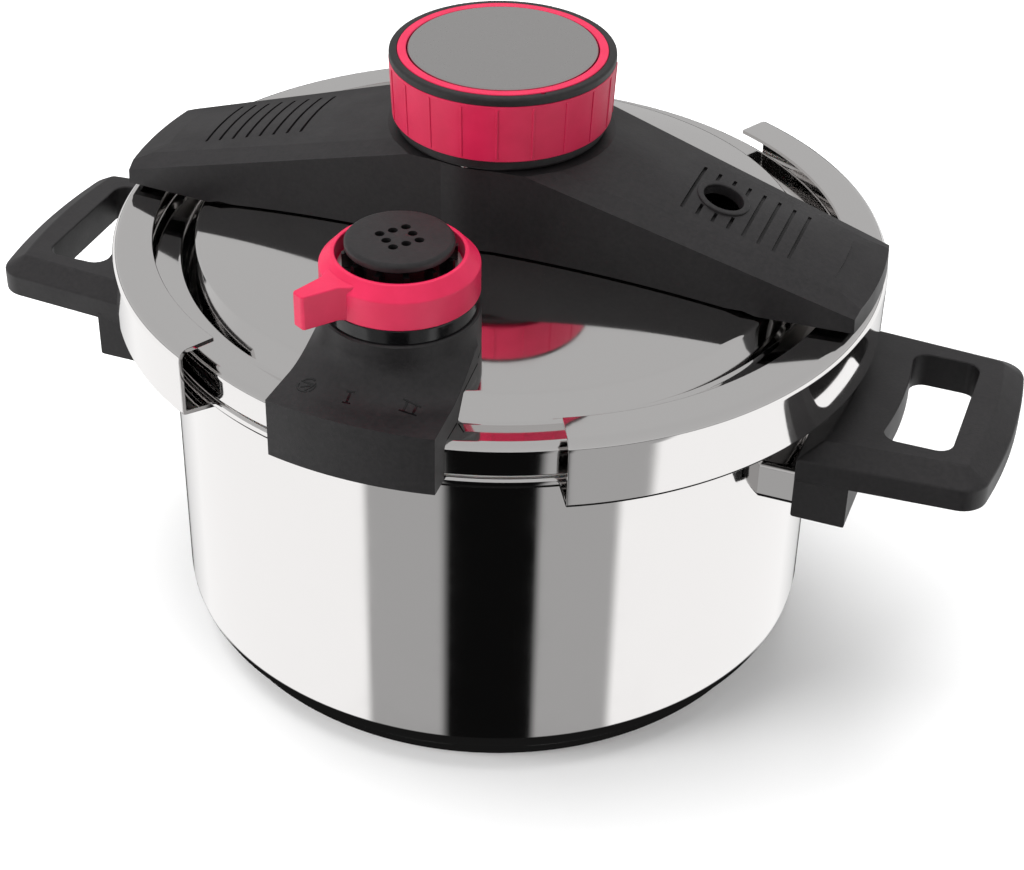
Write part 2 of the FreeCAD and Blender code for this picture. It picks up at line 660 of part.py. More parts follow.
def make_cover():
    body = new_body("bar_cover_body")
    spin(body, "cover_hub", [
        ("0", "skirt_low"), ("hub_radius", "skirt_low"), ("hub_radius", "hub_top"),
        ("0", "hub_top"),
    ])
    for side, name in ((1, "right"), (-1, "left")):
        cover_arm(body, "cover_arm_" + name, "0 * cover_wall", "AdditiveLoft", side, "cover_end")
    spin(body, "cover_top_trim", [
        ("0", "hub_top"), ("1.2 * cover_end", "hub_top"), ("1.2 * cover_end", "knob_top"),
        ("0", "knob_top"),
    ], "Groove")
    spin(body, "cover_end_trim", [
        ("cover_reach", "skirt_low - 1"),
        ("1.2 * cover_end", "skirt_low - 1"),
        ("1.2 * cover_end", "hub_top"),
        ("cover_bevel_reach", "hub_top"),
        ("cover_bevel_reach", "cover_bevel_top"),
        ("cover_reach - 1.5", "cover_end_top"),
    ], "Groove")
    for side, name in ((1, "right"), (-1, "left")):
        cover_arm(body, "cover_hollow_" + name, "cover_wall", "SubtractiveLoft", side,
                  "cover_hollow_end")
    spin(body, "cover_hub_hollow", [
        ("0", "skirt_low - 1"), ("hub_radius - cover_wall", "skirt_low - 1"),
        ("hub_radius - cover_wall", "hub_top - cover_wall"), ("0", "hub_top - cover_wall"),
    ], "Groove")
    spin(body, "cover_underside", [
        ("0", "skirt_low - 1"), ("0", "dome_top + cover_gap"),
        ("panel_radius - 6", DOME_EDGE + " + 2.4 * cover_gap", "dome_radius", -1),
        ("panel_radius - 2", "cover_low"),
        ("1.2 * cover_end", "cover_low"), ("1.2 * cover_end", "skirt_low - 1"),
    ], "Groove")
    bosses = []
    holes = [
        cylinder("stem_opening", "stem_radius + fit", "hub_top - 5", "hub_top + 1"),
        cylinder("indicator_opening", "indicator_hole", "jaw_top", "hub_top", "indicator_place"),
    ]
    boss_low = "channel_low + channel_sheet"
    boss_top = CREASE.format(axis="crease_high", fall="crease_fall", place="boss_place") + " - 1.5"
    for index, (x, y) in enumerate(((1, 1), (1, -1), (-1, 1), (-1, -1))):
        at = ("%d * boss_place" % x, "%d * boss_spread" % y)
        bosses.append(cylinder("boss_%d" % index, "boss_radius", boss_low, boss_top, *at))
        holes.append(cylinder("pilot_%d" % index, "cover_screw", boss_low + " - 1",
                              boss_low + " + cover_screw_grip + 1", *at))
    holes.extend(cover_slots())
    keep(cut("cover_cut", fuse("cover_fuse", [body] + bosses), *holes), "bar_cover")


def cover_slots():
    """Eight shallow slots across each arm; those on the right stop at the indicator's rim."""
    slots = []
    clear = number("indicator_rim + slot_width")
    for side in (-1, 1):
        for index in range(8):
            middle = "(slot_place + %d * slot_pitch)" % index
            across = ("%d * %s - slot_width / 2" % (side, middle),
                      "%d * %s + slot_width / 2" % (side, middle))
            top = CREASE.format(axis="crease_high", fall="crease_fall", place=middle)
            levels = (top + " + plateau_rise + slot_ceiling - slot_depth",
                      top + " + plateau_rise + 3 * slot_ceiling")
            near = side > 0 and abs(number(middle + " - indicator_place")) < clear
            spans = [("-slot_half", "slot_half")]
            if near:
                spans = [("-slot_half", "-(indicator_rim + slot_width)"),
                         ("indicator_rim + slot_width", "slot_half")]
            for part, span in enumerate(spans):
                name = "slot_%d_%d_%d" % (side + 1, index, part)
                slots.append(box(name, across, span, levels))
    return slots


# ---- clamping jaws and their drive ------------------------------------------------------------

def make_jaws():
    """A jaw is a C-section arc: top flange, outer skirt and a lip that rises under the rim."""
    flange_low = "jaw_top - jaw_sheet"
    inside = "jaw_radius - jaw_sheet"
    inner_round = "jaw_round - jaw_sheet"
    path = [
        ("jaw_flange_inner", "jaw_top"),
        ("jaw_flange_inner", flange_low),
        ("jaw_radius - jaw_round", flange_low),
        (inside, "jaw_top - jaw_round", inner_round, -1),
        (inside, "jaw_low + 1.5 * jaw_sheet"),
        ("jaw_lip_inner", "jaw_lip_low + jaw_sheet"),
        ("jaw_lip_inner", "jaw_lip_low"),
        ("jaw_radius - jaw_sheet", "jaw_low"),
        ("jaw_radius", "jaw_low + jaw_sheet", "jaw_sheet", 1),
        ("jaw_radius", "jaw_top - jaw_round"),
        ("jaw_radius - jaw_round", "jaw_top", "jaw_round", 1),
    ]
    spread = ("-rivet_spread", "rivet_spread")
    for side in ("right", "left"):
        body = new_body("jaw_body_" + side)
        spin(body, "jaw_turn_" + side, path, angle="jaw_angle")
        place(body, x="jaw_offset")
        bores = [cylinder("jaw_bore_%s_%d" % (side, index), "rivet_radius", "rim_top",
                          "arm_level", "rivet_place", y) for index, y in enumerate(spread)]
        jaw = cut("jaw_cut_" + side, body, *bores)
        rivets = []
        for index, y in enumerate(spread):
            name = "%s_%d" % (side, index)
            rivets.append(fuse("rivet_" + name, [
                cylinder("rivet_shank_" + name, "rivet_radius", flange_low + " - 1",
                         "jaw_top + arm_sheet", "rivet_place", y),
                cylinder("rivet_head_" + name, "rivet_head_radius",
                         flange_low + " - rivet_head_height", flange_low, "rivet_place", y),
            ]))
        rivet_group = group("rivet_group_" + side, rivets)
        if side == "left":
            jaw = turned_half(jaw)
            rivet_group = turned_half(rivet_group)
        keep(jaw, "clamp_jaw_" + side)
        keep(rivet_group, "jaw_rivets_" + side)


def rack_solid(name):
    """The toothed bar of the right-hand arm: it lies at -Y, with its teeth towards the pinion."""
    pitch_line = number("gear_module * gear_teeth / 2")
    pitch = math.pi * number("gear_module")
    half_tooth = pitch / 4 - number("gear_backlash / 2")
    slope = math.tan(math.radians(20))
    tip = pitch_line - number("gear_module") + 0.05
    root = pitch_line + 1.25 * number("gear_module")
    half_tip = half_tooth - (pitch_line - tip) * slope
    half_root = half_tooth + (root - pitch_line) * slope
    back = number("arm_half")
    inner = -number("rack_reach")
    outer = number("arm_inner") + 2
    corners = [(outer, -back), (outer, -root)]
    first = math.ceil((inner + pitch) / pitch - 0.5)
    for index in range(5, first - 1, -1):
        middle = (index + 0.5) * pitch
        for x, y in ((half_root, root), (half_tip, tip), (-half_tip, tip), (-half_root, root)):
            corners.append((middle + x, -y))
    corners.extend([(inner, -root), (inner, -back)])
    low = number("arm_level")
    wire = Part.makePolygon([Vector(x, y, low) for x, y in corners + corners[:1]])
    thing = document.addObject("Part::Feature", name)
    thing.Shape = Part.Face(wire).extrude(Vector(0, 0, number("rack_depth")))
    thing.Placement = FreeCAD.Placement()
    return thing


def make_arms():
    top = "arm_level + arm_sheet"
    foot_top = "jaw_top + arm_sheet"
    profile = [
        ("arm_inner", "arm_level"), ("arm_bend", "arm_level"), ("arm_foot", "jaw_top"),
        ("arm_tip", "jaw_top"), ("arm_tip", foot_top), ("arm_foot", foot_top),
        ("arm_bend", top), ("arm_inner", top),
    ]
    for side in ("right", "left"):
        body = new_body("arm_body_" + side)
        sketch = new_sketch(body, "XZ_Plane", "arm_sketch_" + side)
        draw(sketch, profile)
        feature = body.newObject("PartDesign::Pad", "arm_pad_" + side)
        feature.Profile = sketch
        feature.Midplane = True
        bind(feature, Length="2 * arm_half")
        document.recompute()
        slot = [
            ("indicator_place + pin_radius + 1", "-(pin_radius + 1)"),
            ("indicator_place + pin_radius + 1", "pin_radius + 1"),
            ("indicator_place - jaw_travel - pin_radius - 1", "pin_radius + 1"),
            ("indicator_place - jaw_travel - pin_radius - 1", "-(pin_radius + 1)"),
        ]
        pocket(body, "arm_slot_" + side, [slot], "jaw_top", top + " + 1")
        bores = [cylinder("arm_bore_%s_%d" % (side, index), "rivet_radius", "jaw_top - 1",
                          foot_top + " + 1", "rivet_place", y)
                 for index, y in enumerate(("-rivet_spread", "rivet_spread"))]
        plate = cut("arm_cut_" + side, body, *bores)
        arm = fuse("arm_fuse_" + side, [plate, rack_solid("rack_" + side)])
        arm.Refine = True
        if side == "left":
            arm = turned_half(arm)
        keep(arm, "slide_arm_" + side)


def make_pinion():
    """Involute pinion, 20 degree pressure angle, on a hexagonal hub."""
    teeth = int(number("gear_teeth"))
    pitch_radius = number("gear_module * gear_teeth / 2")
    base = pitch_radius * math.cos(math.radians(20))
    tip = pitch_radius + number("gear_module") - 0.05
    root = pitch_radius - 1.25 * number("gear_module")

    def involute(radius):
        turn = math.acos(min(1, base / radius))
        return math.tan(turn) - turn

    half_tooth = math.pi / (2 * teeth) - number("gear_backlash") / (2 * pitch_radius)
    flank = [(root, half_tooth + involute(pitch_radius))]
    for step in range(6):
        radius = base + (tip - base) * step / 5
        flank.append((radius, half_tooth + involute(pitch_radius) - involute(radius)))
    corners = []
    for tooth in range(teeth):
        middle = 2 * math.pi * tooth / teeth
        for radius, half in flank:
            corners.append((radius, middle - half))
        for radius, half in reversed(flank):
            corners.append((radius, middle + half))
    low = number("gear_low")
    points = [Vector(r * math.cos(a), r * math.sin(a), low) for r, a in corners]
    wheel = document.addObject("Part::Feature", "pinion_wheel")
    wheel.Shape = Part.Face(Part.makePolygon(points + points[:1])).extrude(
        Vector(0, 0, number("gear_high - gear_low")))
    wheel.Placement = FreeCAD.Placement()
    hub = hexagon("pinion_hub", "hex_radius", "gear_high", "hex_top")
    bore = cylinder("pinion_bore", "bolt_bore", "gear_low - 1", "hex_top + 1")
    keep(cut("pinion_cut", fuse("pinion_fuse", [wheel, hub]), bore), "drive_pinion")


# ---- knob -------------------------------------------------------------------------------------

def make_knob():
    seat = "disc_radius - washer_sheet - washer_sheet"
    core = turned("knob_core", [
        ("bolt_bore", "stem_low"),
        ("stem_radius", "stem_low"),
        ("stem_radius", "knob_low"),
        ("knob_flange - 1.5", "knob_low"),
        ("knob_flange", "knob_low + 1.5"),
        ("knob_flange", "grip_low - joint_gap"),
        ("core_radius", "grip_low - joint_gap"),
        ("core_radius", "disc_seat"),
        (seat, "disc_seat"),
        (seat, "knob_floor"),
        ("bolt_bore", "knob_floor"),
    ])
    rib_turn = [
        ("grip_low_radius - 1", "-rib_width / 2"),
        ("grip_radius + rib_height", "-rib_width / 2"),
        ("grip_radius + rib_height", "rib_width / 2"),
        ("grip_low_radius - 1", "rib_width / 2"),
    ]
    grip = new_body("knob_grip_body")
    spin(grip, "grip_turn", [
        ("core_radius + joint_gap", "grip_low"),
        ("grip_low_radius", "grip_low"),
        ("grip_radius", "grip_top"),
        ("core_radius + joint_gap", "grip_top"),
    ])
    rib = pad(grip, "grip_rib", rib_turn, "grip_low + 1", "grip_top - 1")
    polar(grip, "grip_rib_pattern", rib, "grip_ribs")
    ring_low = "grip_top + joint_gap"
    ring = turned("knob_top_ring", [
        ("core_radius + 1", ring_low),
        ("grip_radius", ring_low),
        ("grip_radius", "ring_top - 0.8"),
        ("grip_radius - 0.8", "ring_top"),
        ("ring_inner", "ring_top"),
        ("ring_inner", "ring_ledge"),
        ("core_radius + 1", "ring_ledge"),
    ])
    inner_ring = turned("knob_inner_ring", [
        ("disc_radius + 0.4", "ring_ledge + joint_gap"),
        ("ring_inner - joint_gap", "ring_ledge + joint_gap"),
        ("ring_inner - joint_gap", "ring_top"),
        ("ring_inner - 0.4", "ring_top + 0.2"),
        ("disc_radius + 0.8", "ring_top + 0.2"),
        ("disc_radius + 0.4", "ring_top - 0.2"),
    ])
    disc = turned("knob_disc", [
        ("0", "knob_top - 1.4"),
        (seat + " + 1.2", "knob_top - 1.4"),
        (seat + " + 1.2", "disc_seat"),
        ("core_radius - joint_gap", "disc_seat"),
        ("core_radius - joint_gap", "knob_top - 1.8"),
        ("disc_radius", "knob_top - 1.8"),
        ("disc_radius", "knob_top - 0.8"),
        ("disc_radius - 0.8", "knob_top"),
        ("0", "knob_top"),
    ])
    shanks = []
    screws = []
    for index in range(3):
        angle = "(30 + %d * 120)" % index
        at = ("screw_ring * cos(%s)" % angle, "screw_ring * sin(%s)" % angle)
        shanks.append((index, at))
        screws.append(fuse("knob_screw_%d" % index, [
            cylinder("knob_screw_head_%d" % index, "knob_screw_head", "knob_low",
                     "knob_low + knob_head_height", *at),
            cylinder("knob_screw_shank_%d" % index, "knob_screw", "knob_low", "ring_ledge", *at),
        ]))
    keep(group("knob_screw_group", screws), "knob_screws")

    def screw_bores(name, low, high, head=False):
        bores = [cylinder("%s_bore_%d" % (name, index), "knob_screw", low, high, *at)
                 for index, at in shanks]
        if head:
            bores += [cylinder("%s_head_bore_%d" % (name, index), "knob_screw_sink",
                               "knob_low - 1", "knob_low + knob_head_height", *at)
                      for index, at in shanks]
        return bores

    socket = hexagon("knob_socket", "hex_radius", "stem_low - 1", "hex_top")
    keep(cut("knob_core_cut", core, socket, *screw_bores("core", "knob_low - 1", "grip_low", True)),
         "knob_core")
    keep(cut("knob_grip_cut", grip, *screw_bores("grip", "grip_low - 1", "grip_top + 1")),
         "knob_grip")
    keep(cut("knob_ring_cut", ring, *screw_bores("ring", "grip_top", "ring_ledge")),
         "knob_top_ring")
    keep(inner_ring, "knob_inner_ring")
    keep(disc, "knob_disc")


# ---- working valve ----------------------------------------------------------------------------

def make_valve_housing():
    body = new_body("valve_housing_body")
    front = "-sqrt(block_reach ^ 2 - block_half ^ 2)"
    pad(body, "housing_block", [
        ("-tower_radius", "-valve_place"),
        ("-block_half", front),
        ("block_half", front, "block_reach", 1),
        ("tower_radius", "-valve_place"),
    ], "block_low", "block_top")
    sketch = new_sketch(body, "YZ_Plane", "housing_slope_sketch")
    draw(sketch, [
        ("-valve_place", "block_top"),
        (front, "block_front_top"),
        ("-(block_reach + 5)", "block_front_top - 1"),
        ("-(block_reach + 5)", "hub_top"),
        ("-valve_place", "hub_top"),
    ])
    slope = body.newObject("PartDesign::Pocket", "housing_slope")
    slope.Profile = sketch
    slope.Midplane = True
    bind(slope, Length="4 * block_half")
    document.recompute()
    spin(body, "housing_lid_clearance", lid_outside("fit") + [
        ("skirt_radius + fit", "block_low - 1"), ("0", "block_low - 1"),
    ], "Groove")
    envelope = turned("housing_envelope", lid_outside("fit") + [
        ("skirt_radius + fit", "block_low"), ("0", "block_low"),
    ])
    tower = cut("housing_tower", cylinder("tower_solid", "tower_radius", "block_low", "tower_top",
                                          "0", "-valve_place"), envelope)
    hollow = cylinder("tower_hollow", "tower_bore", "tower_floor", "hub_top", "0", "-valve_place")
    bore = cylinder("tower_tube_bore", "bush_hole", "block_low", "hub_top", "0", "-valve_place")
    whole = fuse("housing_fuse", [body, tower])
    whole.Refine = True
    keep(cut("housing_cut", whole, hollow, bore), "valve_housing")


def make_valve():
    at = ("0", "-valve_place")
    axis = "-valve_place"
    keep(turned("steam_tube", [
        ("steam_bore", "steam_low"), ("bush_radius", "steam_low"), ("bush_radius", "tower_floor"),
        ("steam_flange", "tower_floor"), ("steam_flange", "steam_flange_top"),
        ("bush_radius - 1", "steam_flange_top"), ("bush_radius - 1", "tube_top - 1"),
        ("bush_radius - 2", "tube_top"), ("steam_bore", "tube_top"),
    ], axis), "steam_tube")
    keep(cut("tube_nut_cut", hexagon("tube_nut_body", "nut_radius", "tube_nut_top - 4",
                                     "tube_nut_top", *at),
             cylinder("tube_nut_bore", "bush_radius", "dome_top - 20", "dome_top", *at)),
         "tube_nut")
    under_lid = turned("under_lid", [
        ("0", "dome_top - lid_sheet - joint_gap"),
        ("panel_radius - lid_sheet", DOME_EDGE + " - lid_sheet - joint_gap",
         "dome_radius - lid_sheet", -1),
        ("panel_radius - lid_sheet", "skirt_low"), ("0", "skirt_low"),
    ])
    seal = document.addObject("Part::Common", "tube_seal_common")
    seal.Base = cut("tube_seal_cut", cylinder("tube_seal_outer", "nut_radius", "tube_nut_top", "dome_top",
                                              *at),
                    cylinder("tube_seal_bore", "bush_radius + 0.05", "skirt_low", "dome_top + 1",
                             *at))
    seal.Tool = under_lid
    keep(seal, "tube_seal")
    keep(turned("valve_collar", [
        ("neck_radius + joint_gap", "tower_top"), ("collar_radius", "tower_top"),
        ("collar_radius", "collar_top - 0.8"), ("collar_radius - 0.8", "collar_top"),
        ("neck_radius + joint_gap", "collar_top"),
    ], axis), "valve_collar")

    neck = new_body("valve_neck_body")
    neck_floor = "steam_flange_top + joint_gap"
    spin(neck, "neck_turn", [
        ("bush_radius - 0.9", neck_floor), ("neck_radius", neck_floor),
        ("neck_radius", "neck_shoulder"), ("neck_core", "neck_shoulder"),
        ("neck_core", "neck_top"), ("neck_bore", "neck_top"),
        ("neck_bore", neck_floor + " + 2.5"), ("bush_radius - 0.9", neck_floor + " + 2.5"),
    ])
    fin = pad(neck, "neck_fin", [
        ("neck_core - 1", "-fin_half"), ("fin_radius", "-fin_half"),
        ("fin_radius", "fin_half"), ("neck_core - 1", "fin_half"),
    ], "neck_shoulder + 1.3", "neck_top")
    polar(neck, "neck_fins", fin, "fin_count")
    place(neck, y=axis)
    keep(neck, "valve_neck")
    ring_low = "neck_shoulder + joint_gap"
    keep(turned("retaining_ring", [
        ("neck_core + joint_gap", ring_low), ("neck_radius + 0.6", ring_low),
        ("neck_radius + 0.6", ring_low + " + 1"), ("neck_core + joint_gap", ring_low + " + 1"),
    ], axis), "retaining_ring")

    cap = new_body("valve_cap_body")
    spin(cap, "cap_turn", [
        ("0", "cap_low"), ("neck_bore + joint_gap", "cap_low"),
        ("neck_bore + joint_gap", "neck_top + joint_gap"), ("12", "neck_top + joint_gap"),
        ("12", "cap_low"), ("cap_radius - 0.6", "cap_low"), ("cap_radius", "cap_low + 0.6"),
        ("cap_radius", "valve_cap_top - 1.2"), ("cap_radius - 1.6", "valve_cap_top"),
        ("0", "valve_cap_top"),
    ])
    turn = math.radians(50)
    grid = []
    for column in (-1, 0, 1):
        for line in (-1, 0, 1):
            if column or line:
                x = column * math.cos(turn) - line * math.sin(turn)
                y = column * math.sin(turn) + line * math.cos(turn)
                grid.append(("%.4f * cap_pitch" % x, "%.4f * cap_pitch" % y))
    pocket(cap, "cap_holes", [], "neck_top", "valve_cap_top", (grid, "cap_hole"))
    place(cap, y=axis)
    keep(cap, "valve_cap")

    keep(turned("valve_plunger", [
        ("0", "tube_top - 1.8"), ("1.9", "tube_top + fit"), ("plunger_radius", "tube_top + fit"),
        ("plunger_radius", "plunger_top"), ("0", "plunger_top"),
    ], axis), "valve_plunger")
    keep(coil("valve_spring", "plunger_top + fit", "cap_low - fit"), "valve_spring")


def coil(name, low, high):
    """A compression spring between two levels, its wire following a helix."""
    wire = number("spring_wire")
    radius = number("spring_radius")
    bottom = number(low) + wire
    height = number("(%s) - (%s)" % (high, low)) - 2 * wire
    helix = Part.makeHelix(height / 4, height, radius)
    section = Part.Wire(Part.makeCircle(wire, Vector(radius, 0, 0), Vector(0, 1, 0)))
    thing = document.addObject("Part::Feature", name)
    thing.Shape = Part.Wire(helix.Edges).makePipeShell([section], True, True)
    thing.Placement = FreeCAD.Placement(Vector(0, number("-valve_place"), bottom),
                                        FreeCAD.Rotation())
    return thing


def make_selector():
    body = new_body("selector_ring_body")
    spin(body, "selector_turn", [
        ("selector_bore", "selector_low"), ("selector_radius", "selector_low"),
        ("selector_radius", "selector_shoulder"), ("selector_mouth + 1.4", "selector_top - 0.8"),
        ("selector_mouth", "selector_top"), ("neck_radius + 1.2", "selector_top - 1.5"),
        ("neck_radius + 1.2", "neck_shoulder"), ("selector_bore", "neck_shoulder"),
    ])
    pad(body, "selector_lever", [
        ("neck_radius + 2", "-7"), ("selector_radius + 2", "-5"),
        ("lever_reach - 1", "-lever_half"), ("lever_reach", "0"),
        ("lever_reach - 1", "lever_half"), ("selector_radius + 2", "5"), ("neck_radius + 2", "7"),
    ], "selector_low", "lever_top")
    place(body, y="-valve_place")
    body.Placement.Rotation = FreeCAD.Rotation(Vector(0, 0, 1), number("lever_turn"))
    keep(body, "selector_ring")


# ---- pressure indicator -----------------------------------------------------------------------

def make_indicator():
    at = ("indicator_place", "0")
    bush = fuse("bush_fuse", [
        cylinder("bush_flange_solid", "bush_flange", "bush_flange_low", "bush_flange_low + 1.5",
                 *at),
        cylinder("bush_tube", "bush_radius", "bush_low", "bush_flange_low", *at),
    ])
    keep(cut("bush_cut", bush, cylinder("bush_bore", "pin_bore", "bush_low - 1", "dome_top", *at)),
         "indicator_bush")
    keep(cut("bush_nut_cut", hexagon("bush_nut_body", "nut_radius", "bush_nut_top - 3",
                                     "bush_nut_top", *at),
             cylinder("bush_nut_bore", "bush_radius", "bush_low - 3", "dome_top", *at)),
         "indicator_nut")
    keep(fuse("pin_fuse", [
        cylinder("pin_shank", "pin_radius", "pin_low", "pin_top", *at),
        cylinder("pin_foot", "bush_radius - 0.5", "pin_low", "pin_low + 1.5", *at),
    ]), "indicator_pin")
    keep(cut("pin_seal_cut",
             cylinder("pin_seal_outer", "bush_radius", "pin_low + 1.5", "pin_low + 3.5", *at),
             cylinder("pin_seal_bore", "pin_radius", "pin_low", "pin_low + 5", *at)),
         "indicator_seal")


# ---- handles ----------------------------------------------------------------------------------

def handle_outline(inset="0 * fit"):
    """The handle's outline in plan, made smaller by an inset."""
    side = "(handle_half - %s)" % inset
    end_side = "(handle_end_half - %s)" % inset
    taper = "(handle_half - handle_end_half) / (handle_shoulder - handle_face)"
    shoulder = "(handle_shoulder - %s * %s)" % (inset, taper)
    bulge = "(handle_tip - handle_corner)"
    tip_radius = "((handle_corner_half ^ 2 + %s ^ 2) / (2 * %s))" % (bulge, bulge)
    lean = "(handle_corner_half / %s)" % tip_radius
    corner = "(handle_corner - %s * sqrt(1 - %s ^ 2))" % (inset, lean)
    corner_half = "(handle_corner_half - %s * %s)" % (inset, lean)
    corner_radius = "handle_round - " + inset
    return [
        ("handle_face", "-" + side),
        (shoulder, "-" + end_side),
        (corner, "-" + corner_half, corner_radius, 1),
        (corner, corner_half, "%s - %s" % (tip_radius, inset), 1),
        (shoulder, end_side, corner_radius, 1),
        ("handle_face", side),
    ]


def finger_window():
    """The finger hole in plan: its inner side runs round the pot, its corners are rounded."""
    low_side = "grip_hole_round - grip_hole_half"
    high_side = "grip_hole_half - grip_hole_round"
    inner = "sqrt(grip_hole_in ^ 2 - (%s) ^ 2)" % high_side
    return [
        (inner + " + grip_hole_round", "-grip_hole_half", "grip_hole_round", 1),
        ("grip_hole_out - grip_hole_round", "-grip_hole_half"),
        ("grip_hole_out", low_side, "grip_hole_round", 1),
        ("grip_hole_out", high_side),
        ("grip_hole_out - grip_hole_round", "grip_hole_half", "grip_hole_round", 1),
        (inner + " + grip_hole_round", "grip_hole_half"),
        (inner, high_side, "grip_hole_round", 1),
        (inner, low_side, "grip_hole_in", -1),
    ]


def make_handles():
    for side in ("right", "left"):
        body = new_body("handle_body_" + side)
        shoulder = "handle_top - handle_bevel"
        pad(body, "handle_loop_" + side, handle_outline(), "handle_low", shoulder)
        stack_up(body, "handle_bevel_" + side, [
            (handle_outline(), shoulder), (handle_outline("handle_bevel_width"), "handle_top")])
        pad(body, "handle_block_" + side, [
            ("handle_face", "-(handle_half - 1)"), ("handle_back", "-(handle_half - 1)"),
            ("handle_back", "handle_half - 1"), ("handle_face", "handle_half - 1"),
        ], "handle_block_low", "handle_low + 1")
        pocket(body, "handle_window_" + side, [finger_window()], "handle_block_low",
               "handle_top + 1")
        bores = [box("bracket_room_" + side, ("handle_face - 1", "bracket_reach + fit"),
                     ("-(bracket_half + fit)", "bracket_half + fit"),
                     ("bracket_low - fit", "bracket_top + fit"))]
        screws = []
        bracket_bores = []
        for index, y in enumerate(("-handle_screw_spread", "handle_screw_spread")):
            name = "%s_%d" % (side, index)
            bores.append(level_cylinder("handle_screw_bore_" + name, "handle_screw + joint_gap",
                                        "bracket_reach", "handle_back", y, "handle_screw_level"))
            bores.append(level_cylinder("handle_screw_sink_" + name, "handle_screw + 2",
                                        "handle_back - 4", "handle_back + 1", y,
                                        "handle_screw_level"))
            bracket_bores.append(level_cylinder("bracket_bore_" + name, "handle_screw",
                                                "bracket_reach - 5", "bracket_reach + 1", y,
                                                "handle_screw_level"))
            screws.append(fuse("handle_screw_" + name, [
                level_cylinder("handle_screw_shank_" + name, "handle_screw", "bracket_reach - 4",
                               "handle_back - 4", y, "handle_screw_level"),
                level_cylinder("handle_screw_head_" + name, "handle_screw + 1.7",
                               "handle_back - 4", "handle_back - 1.5", y, "handle_screw_level"),
            ]))
        handle = cut("handle_cut_" + side, body, *bores)
        hollow = box("bracket_hollow_" + side, ("handle_face - 30",
                                                "bracket_reach - bracket_sheet"),
                     ("-(bracket_half - bracket_sheet)", "bracket_half - bracket_sheet"),
                     ("bracket_low + bracket_sheet", "bracket_top - bracket_sheet"))
        solid = box("bracket_solid_" + side, ("handle_face - 16", "bracket_reach"),
                    ("-bracket_half", "bracket_half"), ("bracket_low", "bracket_top"))
        pot_side = cylinder("bracket_pot_side_" + side, "pot_radius", "base_corner", "rim_low")
        bracket = cut("bracket_cut_" + side, solid, hollow, pot_side, *bracket_bores)
        screw_group = group("handle_screw_group_" + side, screws)
        for thing, label in ((handle, "handle_"), (bracket, "handle_bracket_"),
                             (screw_group, "handle_screws_")):
            if side == "left":
                turned_half(thing)
            keep(thing, label + side)


# ---- whole object -----------------------------------------------------------------------------

for make in (make_pot, make_lid, make_centre, make_bridge, make_cover, make_jaws, make_arms,
             make_pinion, make_knob, make_valve_housing, make_valve, make_selector,
             make_indicator, make_handles):
    make()
document.recompute()

faults = ["%s: %s" % (thing.Label, thing.State) for thing in document.Objects
          if "Invalid" in thing.State or "Error" in thing.State]
for piece in pieces:
    if piece.Shape.isNull() or not piece.Shape.isValid() or not piece.Shape.Solids:
        faults.append(piece.Label + ": bad shape")
if faults:
    raise RuntimeError("; ".join(faults))

os.makedirs("parts", exist_ok=True)
for piece in pieces:
    piece.Shape.exportStep("parts/%s.step" % piece.Label)
print("%d sub-parts written" % len(pieces))
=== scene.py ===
import json
import math

import bmesh
import bpy
from mathutils import Matrix, Vector


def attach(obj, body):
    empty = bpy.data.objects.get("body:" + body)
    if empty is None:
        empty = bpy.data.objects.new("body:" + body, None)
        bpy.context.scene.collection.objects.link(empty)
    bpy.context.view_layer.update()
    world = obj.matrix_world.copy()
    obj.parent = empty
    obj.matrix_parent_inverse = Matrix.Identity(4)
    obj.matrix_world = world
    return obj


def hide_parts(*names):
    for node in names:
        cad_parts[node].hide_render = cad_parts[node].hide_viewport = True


# Stovetop pressure cooker: the pot stands on the origin, handles and bar lie along X, valve at -Y.
# Shapes are built in millimetres and scaled to metres as they are finished.

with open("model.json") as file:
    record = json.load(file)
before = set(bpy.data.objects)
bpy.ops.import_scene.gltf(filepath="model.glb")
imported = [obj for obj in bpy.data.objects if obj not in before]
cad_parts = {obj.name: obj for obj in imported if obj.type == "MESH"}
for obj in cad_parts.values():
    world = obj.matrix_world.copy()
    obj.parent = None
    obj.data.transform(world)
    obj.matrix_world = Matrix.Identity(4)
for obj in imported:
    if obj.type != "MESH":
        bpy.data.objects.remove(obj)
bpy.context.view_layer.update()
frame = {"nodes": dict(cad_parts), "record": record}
scene = bpy.context.scene
record = frame["record"]
jointAt = {joint["name"]: joint.get("pos_m") for joint in record["behaviour"]["joints"]}
valvePlace = round(1000 * jointAt["selector_turn"][1], 3)  # middle of the valve, along Y
indicatorPlace = 75.7  # middle of the pressure indicator, along X
print("frame loaded")


# Helpers for shapes

def arcPoints(centre, radius, start, end, steps):
    angles = [math.radians(start + (end - start) * step / steps) for step in range(steps + 1)]
    return [(centre[0] + radius * math.cos(a), centre[1] + radius * math.sin(a)) for a in angles]


def arcBetween(start, end, radius, steps):
    # The short arc that turns left on its way, or right for a negative radius
    start, end = Vector(start), Vector(end)
    across = end - start
    away = math.sqrt(radius ** 2 - across.length_squared / 4)
    aside = Vector((-across.y, across.x)).normalized() * math.copysign(away, radius)
    centre = (start + end) / 2 + aside
    first = math.degrees(math.atan2(start.y - centre.y, start.x - centre.x))
    turn = 2 * math.degrees(math.asin(across.length / 2 / radius))
    return arcPoints(centre, abs(radius), first, first + turn, steps)


